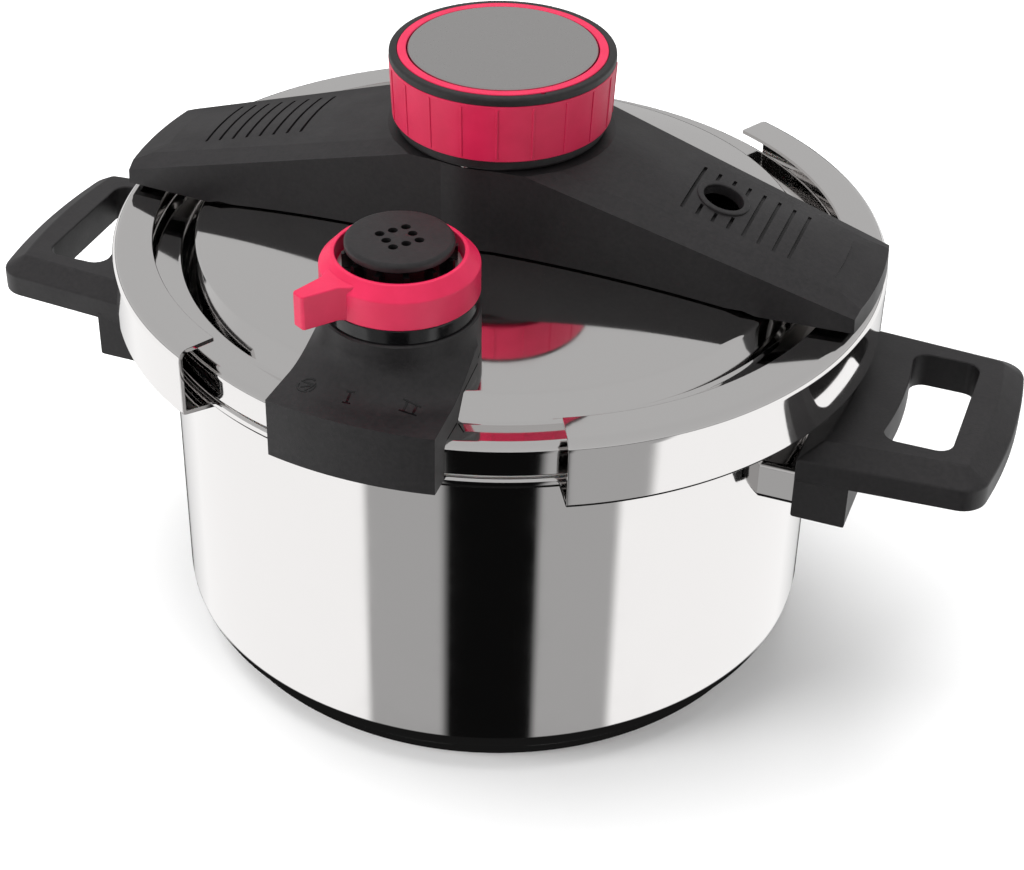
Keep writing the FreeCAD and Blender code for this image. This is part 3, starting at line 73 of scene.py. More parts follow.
def roundPath(points, steps=4):
    # Points are (x, y) or (x, y, corner radius)
    path = []
    for index, point in enumerate(points):
        here = Vector(point[:2])
        if len(point) == 2:
            path.append(tuple(here))
            continue
        back = (Vector(points[index - 1][:2]) - here).normalized()
        ahead = (Vector(points[(index + 1) % len(points)][:2]) - here).normalized()
        half = back.angle(ahead) / 2
        centre = here + (back + ahead).normalized() * point[2] / math.sin(half)
        reach = point[2] / math.tan(half)
        first = here + back * reach - centre
        last = here + ahead * reach - centre
        start = math.degrees(math.atan2(first.y, first.x))
        turn = math.degrees(math.atan2(last.y, last.x)) - start
        turn = (turn + 180) % 360 - 180
        path.extend(arcPoints(centre, point[2], start, start + turn, steps))
    return path


def lathe(mesh, path, centre=(0, 0), steps=160, turn=360, start=0):
    # Path is (radius, height), a closed outline spun round an upright axis
    angle = math.radians(start)
    verts = [mesh.verts.new((centre[0] + r * math.cos(angle), centre[1] + r * math.sin(angle), z))
             for r, z in path]
    edges = [mesh.edges.new((verts[i - 1], verts[i])) for i in range(len(verts))]
    bmesh.ops.spin(mesh, geom=verts + edges, cent=(*centre, 0), axis=(0, 0, 1),
                   angle=math.radians(turn), steps=steps, use_merge=turn == 360)
    if turn < 360:
        bmesh.ops.edgeloop_fill(mesh, edges=[e for e in mesh.edges if e.is_boundary])
    bmesh.ops.remove_doubles(mesh, verts=mesh.verts, dist=0.001)


def prism(mesh, path, low, high):
    # An outline in plan, extruded upwards
    face = mesh.faces.new([mesh.verts.new((x, y, low)) for x, y in path])
    top = bmesh.ops.extrude_face_region(mesh, geom=[face], use_keep_orig=True)["geom"]
    bmesh.ops.translate(mesh, vec=(0, 0, high - low),
                        verts=[v for v in top if isinstance(v, bmesh.types.BMVert)])
    bmesh.ops.recalc_face_normals(mesh, faces=mesh.faces)


def block(mesh, low, high):
    # A box between two corners
    made = bmesh.ops.create_cube(mesh, size=1)["verts"]
    low, high = Vector(low), Vector(high)
    bmesh.ops.scale(mesh, vec=high - low, verts=made)
    bmesh.ops.translate(mesh, vec=(low + high) / 2, verts=made)
    return made


def rod(mesh, radius, low, high, centre=(0, 0), steps=32):
    made = bmesh.ops.create_cone(mesh, cap_ends=True, segments=steps, radius1=radius,
                                 radius2=radius, depth=high - low)["verts"]
    bmesh.ops.translate(mesh, vec=(*centre, (low + high) / 2), verts=made)
    return made


def soften(mesh, width, steps=2, angle=28, where=None):
    # Rounds the edges that are sharper than an angle
    edges = [e for e in mesh.edges if len(e.link_faces) == 2
             and e.calc_face_angle(0) > math.radians(angle)
             and (where is None or all(where(v.co) for v in e.verts))]
    bmesh.ops.bevel(mesh, geom=edges, offset=width, offset_type="OFFSET", segments=steps,
                    profile=0.5, affect="EDGES", clamp_overlap=True, material=-1)


def cleanUp(mesh):
    bmesh.ops.remove_doubles(mesh, verts=mesh.verts, dist=0.002)
    bmesh.ops.dissolve_degenerate(mesh, edges=mesh.edges, dist=0.002)
    bmesh.ops.recalc_face_normals(mesh, faces=mesh.faces)


def asObject(name, mesh):
    # A plain object, for combining or finishing
    bmesh.ops.recalc_face_normals(mesh, faces=mesh.faces)
    data = bpy.data.meshes.new(name)
    mesh.to_mesh(data)
    mesh.free()
    piece = bpy.data.objects.new(name, data)
    scene.collection.objects.link(piece)
    return piece


def combine(piece, tool, operation):
    # Joins, cuts or intersects, and leaves a plain mesh
    modifier = piece.modifiers.new("combine", "BOOLEAN")
    modifier.operation = operation
    modifier.solver = "EXACT"
    modifier.object = tool
    bpy.context.view_layer.update()
    result = bpy.data.meshes.new_from_object(
        piece.evaluated_get(bpy.context.evaluated_depsgraph_get()))
    piece.modifiers.clear()
    piece.data = result
    bpy.data.objects.remove(tool)
    return piece


def reopen(piece):
    # Back to a mesh that operators can work on
    mesh = bmesh.new()
    mesh.from_mesh(piece.data)
    bpy.data.objects.remove(piece)
    cleanUp(mesh)
    return mesh


def addShape(mesh, other):
    # Puts a second shape into a mesh as a separate shell
    data = bpy.data.meshes.new("shape")
    other.to_mesh(data)
    other.free()
    mesh.from_mesh(data)
    bpy.data.meshes.remove(data)


def finishPiece(name, mesh, body, material, nodes=(), angle=28):
    # Scales to metres, shades smooth up to an angle, and rides on its body
    cleanUp(mesh)
    bmesh.ops.scale(mesh, vec=(0.001, 0.001, 0.001), verts=mesh.verts)
    for face in mesh.faces:
        face.smooth = True
    piece = asObject(name, mesh)
    piece.data.set_sharp_from_angle(angle=math.radians(angle))
    piece.data.materials.append(material)
    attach(piece, body)
    if nodes:
        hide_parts(*nodes)
    weigh = piece.modifiers.new("weigh", "WEIGHTED_NORMAL")
    weigh.keep_sharp = True
    return piece


# Helpers for materials

def linear(code):
    # sRGB hex to a linear colour
    parts = [int(code[i:i + 2], 16) / 255 for i in (0, 2, 4)]
    return [p / 12.92 if p <= 0.04045 else ((p + 0.055) / 1.055) ** 2.4 for p in parts] + [1]


def addNode(tree, kind, inputs=(), **settings):
    node = tree.nodes.new(kind)
    for name, value in settings.items():
        setattr(node, name, value)
    for socket, value in inputs:
        if isinstance(value, bpy.types.NodeSocket):
            tree.links.new(value, node.inputs[socket])
        else:
            node.inputs[socket].default_value = value
    return node


def setRamp(node, stops):
    ramp = node.color_ramp
    while len(ramp.elements) < len(stops):
        ramp.elements.new(0.5)
    for element, (place, colour) in zip(ramp.elements, stops):
        element.position = place
        element.color = colour
    return node


def grey(value):
    return (value, value, value, 1)


def perMetre(size):
    # Pattern scale for features of a size in millimetres
    return 1000 / size


def startMaterial(name, **values):
    material = bpy.data.materials.new(name)
    material.use_nodes = True
    tree = material.node_tree
    tree.nodes.clear()
    inputs = [(key.replace("_", " "), value) for key, value in values.items()]
    shader = addNode(tree, "ShaderNodeBsdfPrincipled", inputs)
    addNode(tree, "ShaderNodeOutputMaterial", [("Surface", shader.outputs[0])])
    where = addNode(tree, "ShaderNodeTexCoord").outputs["Object"]
    return material, tree, shader, where


def join(tree, output, node, socket):
    tree.links.new(output, node.inputs[socket])


# Materials

def polishedSteel():
    # Mirror polished 18/10 stainless sheet: slow press ripples bend the reflections, and faint
    # buffing haze softens them in patches
    material, tree, shader, where = startMaterial(
        "polishedSteel", Base_Color=linear("e6e4e3"), Metallic=1.0)
    haze = addNode(tree, "ShaderNodeTexNoise",
                   [("Vector", where), ("Scale", perMetre(16.7)), ("Detail", 4), ("Roughness", 0.6)])
    spread = addNode(tree, "ShaderNodeMapRange",
                     [("Value", haze.outputs[0]), ("From Min", 0.3), ("From Max", 0.7),
                      ("To Min", 0.045), ("To Max", 0.085)])
    join(tree, spread.outputs[0], shader, "Roughness")
    ripple = addNode(tree, "ShaderNodeTexNoise",
                     [("Vector", where), ("Scale", perMetre(45.5)), ("Detail", 1)])
    bump = addNode(tree, "ShaderNodeBump",
                   [("Height", ripple.outputs[0]), ("Strength", 0.2), ("Distance", 0.0001)])
    join(tree, bump.outputs[0], shader, "Normal")
    return material


def satinSteel():
    # Rolled stainless sheet: short fine lines along X give a soft streaky sheen
    material, tree, shader, where = startMaterial(
        "satinSteel", Base_Color=linear("cfcdcb"), Metallic=1.0)
    stretched = addNode(tree, "ShaderNodeMapping", [
        ("Vector", where), ("Scale", (perMetre(16.7), perMetre(0.556), perMetre(0.556)))])
    lines = addNode(tree, "ShaderNodeTexNoise",
                    [("Vector", stretched.outputs[0]), ("Scale", 1), ("Detail", 2)])
    spread = addNode(tree, "ShaderNodeMapRange",
                     [("Value", lines.outputs[0]), ("To Min", 0.24), ("To Max", 0.42)])
    join(tree, spread.outputs[0], shader, "Roughness")
    bump = addNode(tree, "ShaderNodeBump",
                   [("Height", lines.outputs[0]), ("Strength", 0.2), ("Distance", 0.00003)])
    join(tree, bump.outputs[0], shader, "Normal")
    return material


def spunSteel():
    # Spun satin disc: rings about 0.3 mm apart round its centre, and a slight mottle
    material, tree, shader, where = startMaterial(
        "spunSteel", Base_Color=linear("c4c2c1"), Metallic=1.0)
    parts = addNode(tree, "ShaderNodeSeparateXYZ", [("Vector", where)])
    flat = addNode(tree, "ShaderNodeCombineXYZ",
                   [("X", parts.outputs["X"]), ("Y", parts.outputs["Y"])])
    radius = addNode(tree, "ShaderNodeVectorMath", [(0, flat.outputs[0])], operation="LENGTH")
    rings = addNode(tree, "ShaderNodeTexNoise",
                    [("W", radius.outputs["Value"]), ("Scale", perMetre(0.3125)), ("Detail", 2)],
                    noise_dimensions="1D")
    mottle = addNode(tree, "ShaderNodeTexNoise",
                     [("Vector", where), ("Scale", perMetre(1.11)), ("Detail", 3)])
    both = addNode(tree, "ShaderNodeMix", [("Factor", 0.5), ("A", rings.outputs[0]),
                                           ("B", mottle.outputs[0])])
    spread = addNode(tree, "ShaderNodeMapRange",
                     [("Value", both.outputs[0]), ("From Min", 0.3), ("From Max", 0.7),
                      ("To Min", 0.26), ("To Max", 0.4)])
    join(tree, spread.outputs[0], shader, "Roughness")
    bump = addNode(tree, "ShaderNodeBump",
                   [("Height", both.outputs[0]), ("Strength", 0.25), ("Distance", 0.00003)])
    join(tree, bump.outputs[0], shader, "Normal")
    return material


def blackPlastic():
    # Moulded black phenolic: the mould's fine eroded grain, and wide dull and shiny patches
    material, tree, shader, where = startMaterial("blackPlastic")
    shade = addNode(tree, "ShaderNodeTexNoise",
                    [("Vector", where), ("Scale", perMetre(1.43)), ("Detail", 3)])
    colour = setRamp(addNode(tree, "ShaderNodeValToRGB", [("Fac", shade.outputs[0])]),
                     [(0.3, linear("181718")), (0.7, linear("201e1f"))])
    join(tree, colour.outputs[0], shader, "Base Color")
    patches = addNode(tree, "ShaderNodeTexNoise",
                      [("Vector", where), ("Scale", perMetre(18.2)), ("Detail", 3)])
    spread = addNode(tree, "ShaderNodeMapRange",
                     [("Value", patches.outputs[0]), ("From Min", 0.3), ("From Max", 0.7),
                      ("To Min", 0.42), ("To Max", 0.54)])
    join(tree, spread.outputs[0], shader, "Roughness")
    grain = addNode(tree, "ShaderNodeTexNoise",
                    [("Vector", where), ("Scale", perMetre(0.667)), ("Detail", 3)])
    bump = addNode(tree, "ShaderNodeBump",
                   [("Height", grain.outputs[0]), ("Strength", 0.35), ("Distance", 0.0001)])
    join(tree, bump.outputs[0], shader, "Normal")
    return material


def glossBlack():
    # Black nylon from a polished mould: dark and glossy, with a few faint scuffs
    material, tree, shader, where = startMaterial("glossBlack", Base_Color=linear("0b0b0c"))
    scuffs = addNode(tree, "ShaderNodeTexNoise",
                     [("Vector", where), ("Scale", perMetre(3.33)), ("Detail", 4)])
    spread = addNode(tree, "ShaderNodeMapRange",
                     [("Value", scuffs.outputs[0]), ("From Min", 0.35), ("From Max", 0.7),
                      ("To Min", 0.12), ("To Max", 0.24)])
    join(tree, spread.outputs[0], shader, "Roughness")
    return material


def pinkPlastic():
    # Pink-red moulded nylon: satin, with a faint grain and a little light spreading under the skin
    material, tree, shader, where = startMaterial(
        "pinkPlastic", Subsurface_Weight=0.08, Subsurface_Radius=(0.004, 0.001, 0.001),
        Subsurface_Scale=0.5)
    shade = addNode(tree, "ShaderNodeTexNoise",
                    [("Vector", where), ("Scale", perMetre(8.33)), ("Detail", 3)])
    colour = setRamp(addNode(tree, "ShaderNodeValToRGB", [("Fac", shade.outputs[0])]),
                     [(0.3, linear("bd1843")), (0.7, linear("c61f4a"))])
    join(tree, colour.outputs[0], shader, "Base Color")
    grain = addNode(tree, "ShaderNodeTexNoise",
                    [("Vector", where), ("Scale", perMetre(0.625)), ("Detail", 2)])
    spread = addNode(tree, "ShaderNodeMapRange",
                     [("Value", grain.outputs[0]), ("To Min", 0.34), ("To Max", 0.48)])
    join(tree, spread.outputs[0], shader, "Roughness")
    bump = addNode(tree, "ShaderNodeBump",
                   [("Height", grain.outputs[0]), ("Strength", 0.2), ("Distance", 0.00006)])
    join(tree, bump.outputs[0], shader, "Normal")
    return material


def siliconeRubber():
    # Grey moulded silicone: soft and dull, with faint powdery clouds
    material, tree, shader, where = startMaterial("siliconeRubber", Subsurface_Weight=0.1,
                                                  Subsurface_Scale=0.002)
    clouds = addNode(tree, "ShaderNodeTexNoise",
                     [("Vector", where), ("Scale", perMetre(11.1)), ("Detail", 4)])
    colour = setRamp(addNode(tree, "ShaderNodeValToRGB", [("Fac", clouds.outputs[0])]),
                     [(0.3, linear("9b9a99")), (0.7, linear("b0afad"))])
    join(tree, colour.outputs[0], shader, "Base Color")
    spread = addNode(tree, "ShaderNodeMapRange",
                     [("Value", clouds.outputs[0]), ("To Min", 0.5), ("To Max", 0.7)])
    join(tree, spread.outputs[0], shader, "Roughness")
    return material


def turnedMetal(name, bright, dull, low, high):
    # Turned on a lathe: fine level rings, with brighter and duller turns
    material, tree, shader, where = startMaterial(name, Metallic=1.0)
    squashed = addNode(tree, "ShaderNodeMapping", [
        ("Vector", where), ("Scale", (perMetre(12.5), perMetre(12.5), perMetre(0.333)))])
    rings = addNode(tree, "ShaderNodeTexNoise",
                    [("Vector", squashed.outputs[0]), ("Scale", 1), ("Detail", 2)])
    colour = setRamp(addNode(tree, "ShaderNodeValToRGB", [("Fac", rings.outputs[0])]),
                     [(0.3, linear(dull)), (0.7, linear(bright))])
    join(tree, colour.outputs[0], shader, "Base Color")
    spread = addNode(tree, "ShaderNodeMapRange",
                     [("Value", rings.outputs[0]), ("To Min", low), ("To Max", high)])
    join(tree, spread.outputs[0], shader, "Roughness")
    bump = addNode(tree, "ShaderNodeBump",
                   [("Height", rings.outputs[0]), ("Strength", 0.3), ("Distance", 0.00003)])
    join(tree, bump.outputs[0], shader, "Normal")
    return material


materials = {
    "polished_steel": polishedSteel(),
    "satin_steel": satinSteel(),
    "spun_steel": spunSteel(),
    "black_plastic": blackPlastic(),
    "gloss_black": glossBlack(),
    "pink_grip": pinkPlastic(),
    "silicone": siliconeRubber(),
    "brass": turnedMetal("turnedBrass", "d8b56a", "b8934c", 0.22, 0.4),
    "spring_steel": turnedMetal("springSteel", "b9b7b5", "8f8d8b", 0.25, 0.42),
    "aluminium_core": turnedMetal("rolledAluminium", "d6d7d9", "b9babd", 0.35, 0.5),
}
print("materials made")

for entry in record["subparts"]:
    node = frame["nodes"][entry["node"]]
    node.data.materials.clear()
    node.data.materials.append(materials[entry["material_slot"]])


# Pot and lid

dome = {"top": 154.6, "radius": 620}  # domed panel of the lid


def domeLevel(radius, rise=0):
    # Height of the dome at a distance from the axis
    return dome["top"] - dome["radius"] + math.sqrt((dome["radius"] + rise) ** 2 - radius ** 2)


def makePot():
    size = {"wall": 111, "sheet": 1.2, "floor": 7, "corner": 9, "rimLow": 122.3, "rimTop": 126.5,
            "rim": 117.5, "base": 105, "baseCorner": 6, "capTop": 7.4}
    wall, sheet, floor = size["wall"], size["sheet"], size["floor"]
    mesh = bmesh.new()
    lathe(mesh, roundPath([
        (0, floor), (wall, floor, size["corner"]), (wall, size["rimLow"], 0.6),
        (size["rim"], size["rimLow"], 1.8), (size["rim"], size["rimTop"], 1.8),
        (wall - sheet, size["rimTop"], 1.6), (wall - sheet, floor + sheet, size["corner"] - sheet),
        (0, floor + sheet),
    ], 8), steps=192)
    finishPiece("potShell", mesh, "root", materials["polished_steel"],
                ["pot_shell"])

    base, corner = size["base"], size["baseCorner"]
    mesh = bmesh.new()
    lathe(mesh, roundPath([
        (0, 0), (base, 0, corner), (base, size["capTop"], 0.3), (base - 1, floor),
        (base - 1, 1, corner - 1), (0, 1),
    ], 8), steps=192)
    finishPiece("baseCap", mesh, "root", materials["polished_steel"],
                ["base_cap"])
    print("pot made")


def makeLid():
    size = {"panel": 101, "foot": 106.4, "flange": 138.8, "skirt": 118.1, "skirtLow": 128,
            "sheet": 1.5, "bend": 3, "panelRound": 2.2, "footRound": 1.8, "tubeHole": 6.1,
            "boltHole": 4.1}
    edge = domeLevel(size["panel"])
    sheet = size["sheet"]
    upper = [(r, domeLevel(r)) for r in range(0, 100, 4)]
    under = [(r, domeLevel(r) - sheet) for r in range(96, -1, -4)]
    mesh = bmesh.new()
    lathe(mesh, roundPath(upper + [
        (size["panel"], edge, size["panelRound"]),
        (size["foot"], size["flange"], size["footRound"]),
        (size["skirt"], size["flange"], size["bend"]), (size["skirt"], size["skirtLow"], 0.5),
        (size["skirt"] - sheet, size["skirtLow"], 0.5),
        (size["skirt"] - sheet, size["flange"] - sheet, size["bend"] - sheet),
        (size["foot"] - sheet, size["flange"] - sheet, size["footRound"]),
        (size["panel"] - sheet, edge - sheet, size["panelRound"]),
    ] + under, 6), steps=192)
    lid = asObject("lid", mesh)
    holes = bmesh.new()
    rod(holes, size["tubeHole"], 130, 170, (0, valvePlace), 48)
    rod(holes, size["tubeHole"], 130, 170, (indicatorPlace, 0), 48)
    rod(holes, size["boltHole"], 130, 170, (0, 0), 32)
    mesh = reopen(combine(lid, asObject("holes", holes), "DIFFERENCE"))
    finishPiece("lidShell", mesh, "root", materials["polished_steel"],
                ["lid_shell"])
    print("lid made")


# Clamping jaws

def makeJaws():
    size = {"offset": 5.25, "radius": 124.2, "sheet": 1.6, "top": 145.3, "low": 121.8,
            "flange": 110.7, "lip": 109.5, "lipLow": 119.4, "bend": 3.6, "span": 124.4,
            "edge": 0.25}
    sheet, radius = size["sheet"], size["radius"]
    path = roundPath([
        (size["flange"], size["top"], 0.3),
        (size["flange"], size["top"] - sheet, 0.3),
        (radius - sheet, size["top"] - sheet, size["bend"] - sheet),
        (radius - sheet, size["low"] + 1.2, 0.8),
        (size["lip"], size["lipLow"] + sheet, 0.3),
        (size["lip"], size["lipLow"], 0.3),
        (radius, size["low"], 1.6),
        (radius, size["top"], size["bend"]),
    ], 5)
    for side, turned in (("right", 0), ("left", 180)):
        mesh = bmesh.new()
        lathe(mesh, path, (size["offset"], 0), 96, size["span"], -size["span"] / 2)
        cleanUp(mesh)
        soften(mesh, size["edge"], 2, 60)
        bmesh.ops.rotate(mesh, cent=(0, 0, 0), matrix=Matrix.Rotation(math.radians(turned), 3, "Z"),
                         verts=mesh.verts)
        finishPiece("clampJaw." + side, mesh, "jaw_" + side,
                    materials["polished_steel"], ["clamp_jaw_" + side])
    print("jaws made")


# Cover of the bar

coverSize = {"crease": 189.1, "fall": 0.291, "half": 32.4, "narrow": 0.0625, "inset": 7.2,
             "rise": 2.6, "crown": 105, "wall": 2.5, "hub": 33, "hubTop": 183.4, "reach": 128.5,
             "reachLow": 128.86, "endTop": 153.8, "bevelReach": 117, "bevelTop": 158.6,
             "low": 147.4, "gap": 0.6, "clearOf": 99, "edge": 0.7, "axle": 11.3}
slotSize = {"first": 66, "pitch": 5.1, "count": 8, "half": 14, "width": 1.1, "floor": -1.6,
            "crest": 1.9}
rimSize = {"bore": 6.7, "outer": 8.9, "sunk": 3, "proud": 0.7, "gap": 0.4}


def coverSection(distance, wall):
    # Half width and outline of an arm of the cover at a distance from the axis
    size = coverSize
    half = size["half"] - size["narrow"] * distance - wall
    level = size["crease"] - size["fall"] * distance - wall
    topHalf = half - size["inset"]
    top = level + size["rise"]
    bow = size["crown"] - math.sqrt(size["crown"] ** 2 - topHalf ** 2)
    outline = [(half, 120), (half, level), (topHalf, top)]
    for step in range(1, 12):
        y = topHalf * (1 - step / 6)
        outline.append((y, top + bow - size["crown"] + math.sqrt(size["crown"] ** 2 - y ** 2)))
    return outline + [(-topHalf, top), (-half, level), (-half, 120)]


def coverSolid(name, wall):
    size = coverSize
    mesh = bmesh.new()
    for side in (1, -1):
        loops = []
        for distance in (0, 132):
            verts = [mesh.verts.new((side * distance, y, z))
                     for y, z in coverSection(distance, wall)]
            loops.append(verts)
            mesh.faces.new(verts)
        edges = [mesh.edges.get((loop[i - 1], loop[i])) for loop in loops for i in range(len(loop))]
        bmesh.ops.bridge_loops(mesh, edges=edges)
    cleanUp(mesh)
    middle = [f for f in mesh.faces if abs(f.calc_center_median().x) < 0.01]
    bmesh.ops.delete(mesh, geom=middle, context="FACES")
    arms = asObject(name, mesh)
    hub = bmesh.new()
    rod(hub, size["hub"] - wall, 120, 200, steps=128)
    combine(arms, asObject("hub", hub), "UNION")
    drop = wall * 4  # the hollow runs out below the cover
    under = [(r, domeLevel(r, size["gap"]) - drop) for r in range(90, -1, -5)]
    envelope = bmesh.new()
    lathe(envelope, [
        (0, size["hubTop"] - wall), (size["bevelReach"] - wall, size["hubTop"] - wall),
        (size["bevelReach"] - wall, size["bevelTop"] - wall),
        (size["reach"] - wall, size["endTop"] - wall),
        (size["reachLow"] - wall, size["low"] - drop), (size["clearOf"], size["low"] - drop),
        (95, domeLevel(95) + 1.4 - drop),
    ] + under, steps=256)
    return combine(arms, asObject("envelope", envelope), "INTERSECT")


def crestLevel(distance):
    # Height of an arm's crowned top on the middle line
    return (coverSize["crease"] - coverSize["fall"] * distance + coverSize["rise"]
            + slotSize["crest"])


def makeCover():
    size, slot, rim = coverSize, slotSize, rimSize
    mesh = reopen(coverSolid("cover", 0))
    soften(mesh, size["edge"], 3, 12, lambda co: co.z > size["low"] + 1.6)
    cover = asObject("cover", mesh)
    combine(cover, coverSolid("hollow", size["wall"]), "DIFFERENCE")

    cuts = bmesh.new()
    slope = math.atan(size["fall"])
    for side in (-1, 1):
        for index in range(slot["count"]):
            middle = slot["first"] + slot["pitch"] * index
            spans = [(-slot["half"], slot["half"])]
            beside = abs(middle - indicatorPlace)
            if side > 0 and beside < rim["outer"]:
                edge = math.sqrt((rim["outer"] + rim["gap"]) ** 2 - beside ** 2)
                spans = [(-slot["half"], -edge), (edge, slot["half"])]
            for low, high in spans:
                made = block(cuts, (-slot["width"] / 2, low, slot["floor"]),
                             (slot["width"] / 2, high, 6))
                bmesh.ops.rotate(cuts, cent=(0, 0, 0), verts=made,
                                 matrix=Matrix.Rotation(side * slope, 3, "Y"))
                bmesh.ops.translate(cuts, vec=(side * middle, 0, crestLevel(middle)), verts=made)
    rod(cuts, rim["bore"], 145, 190, (indicatorPlace, 0), 64)
    rod(cuts, size["axle"], 170, 190, (0, 0), 64)
    combine(cover, asObject("cuts", cuts), "DIFFERENCE")

    mesh = reopen(cover)
    ring = bmesh.new()
    lathe(ring, roundPath([
        (rim["bore"], -rim["sunk"]), (rim["outer"], -rim["sunk"]),
        (rim["outer"], rim["proud"], 0.5), (rim["bore"], rim["proud"], 0.5),
    ], 3), steps=64)
    bmesh.ops.rotate(ring, cent=(0, 0, 0), matrix=Matrix.Rotation(slope, 3, "Y"), verts=ring.verts)
    bmesh.ops.translate(ring, vec=(indicatorPlace, 0, crestLevel(indicatorPlace)),
                        verts=ring.verts)
    addShape(mesh, ring)
    finishPiece("barCover", mesh, "root", materials["black_plastic"],
                ["bar_cover"])
    print("cover made")


# Knob

def makeKnob():
    size = {"low": 183.8, "flange": 34, "gripLow": 187.9, "gripTop": 207.4, "gripLowRadius": 35.5,
            "grip": 36.4, "core": 30, "coreTop": 204.5, "hollow": 27.4, "ribs": 20, "bore": 7,
            "stem": 11, "stemLow": 162.5, "ringInner": 33.8, "ringTop": 210.1, "seat": 208.6,
            "disc": 30.4, "top": 210.59, "floor": 188.5, "notchTurn": -48, "joint": 0.1}
    joint = size["joint"]
    mesh = bmesh.new()
    lathe(mesh, roundPath([
        (size["bore"], size["stemLow"]), (size["stem"], size["stemLow"]),
        (size["stem"], size["low"]), (size["flange"], size["low"], 1.4),
        (size["flange"], size["gripLow"] - joint, 0.4), (size["core"], size["gripLow"] - joint),
        (size["core"], size["coreTop"]), (size["hollow"], size["coreTop"]),
        (size["hollow"], size["floor"]), (size["bore"], size["floor"]),
    ], 4), steps=160)
    finishPiece("knobCore", mesh, "knob", materials["black_plastic"],
                ["knob_core"])

    mesh = bmesh.new()
    lathe(mesh, roundPath([
        (size["core"] + joint, size["gripLow"]), (size["gripLowRadius"], size["gripLow"], 0.5),
        (size["grip"], size["gripTop"], 0.3), (size["core"] + joint, size["gripTop"]),
    ], 4), steps=200)
    lean = math.atan((size["grip"] - size["gripLowRadius"]) / (size["gripTop"] - size["gripLow"]))
    middle = Vector((size["gripLowRadius"] + size["grip"], 0, size["gripLow"] + size["gripTop"])) / 2
    for index in range(size["ribs"]):
        rib = block(mesh, (-1, -0.4, -8.75), (0.3, 0.4, 8.75))
        edges = list({e for v in rib for e in v.link_edges if all(w.co.x > 0 for w in e.verts)})
        rounded = bmesh.ops.bevel(mesh, geom=edges, offset=0.24, segments=2, profile=0.5,
                                  affect="EDGES", offset_type="OFFSET", material=-1)["verts"]
        rib = list({v for v in rib if v.is_valid} | set(rounded))
        bmesh.ops.rotate(mesh, cent=(0, 0, 0), verts=rib, matrix=Matrix.Rotation(lean, 3, "Y"))
        bmesh.ops.translate(mesh, vec=middle, verts=rib)
        bmesh.ops.rotate(mesh, cent=(0, 0, 0), verts=rib,
                         matrix=Matrix.Rotation(2 * math.pi * index / size["ribs"], 3, "Z"))
    finishPiece("knobGrip", mesh, "knob", materials["pink_grip"], ["knob_grip"])

    mesh = bmesh.new()
    lathe(mesh, roundPath([
        (size["core"] + 1, size["gripTop"] + joint), (size["grip"], size["gripTop"] + joint, 0.2),
        (size["grip"], size["ringTop"], 0.9), (size["ringInner"], size["ringTop"], 0.25),
        (size["ringInner"], size["seat"]), (size["core"] + 1, size["seat"]),
    ], 4), steps=200)
    ring = asObject("ring", mesh)
    notch = bmesh.new()
    made = block(notch, (33, -0.7, 209), (34.7, 0.7, 212))
    bmesh.ops.rotate(notch, cent=(0, 0, 0), verts=made,
                     matrix=Matrix.Rotation(math.radians(size["notchTurn"]), 3, "Z"))
    mesh = reopen(combine(ring, asObject("notch", notch), "DIFFERENCE"))
    finishPiece("knobTopRing", mesh, "knob", materials["black_plastic"],
                ["knob_top_ring"])

    mesh = bmesh.new()
    lathe(mesh, roundPath([
        (size["disc"] + 0.4, size["seat"] + joint),
        (size["ringInner"] - joint, size["seat"] + joint),
        (size["ringInner"] - joint, size["ringTop"] + 0.2, 0.35),
        (size["disc"] + 0.4, size["ringTop"] + 0.2, 0.4),
    ], 4), steps=200)
    finishPiece("knobInnerRing", mesh, "knob", materials["pink_grip"],
                ["knob_inner_ring"])

    mesh = bmesh.new()
    lathe(mesh, roundPath([
        (0, size["top"] - 1.8), (size["disc"], size["top"] - 1.8), (size["disc"], size["top"], 0.7),
        (0, size["top"]),
    ], 3), steps=200)
    finishPiece("knobDisc", mesh, "knob", materials["spun_steel"], ["knob_disc"])
    print("knob made")


# Working valve

valveSize = {"tower": 24.5, "top": 163.6, "bore": 20.5, "floor": 152.5, "flare": 12, "deck": 146.5,
             "deckReach": 52, "deckFall": 0.9, "edge": 0.5, "half": 27, "sideHalf": 25.2,
             "reach": 126.28, "low": 126}


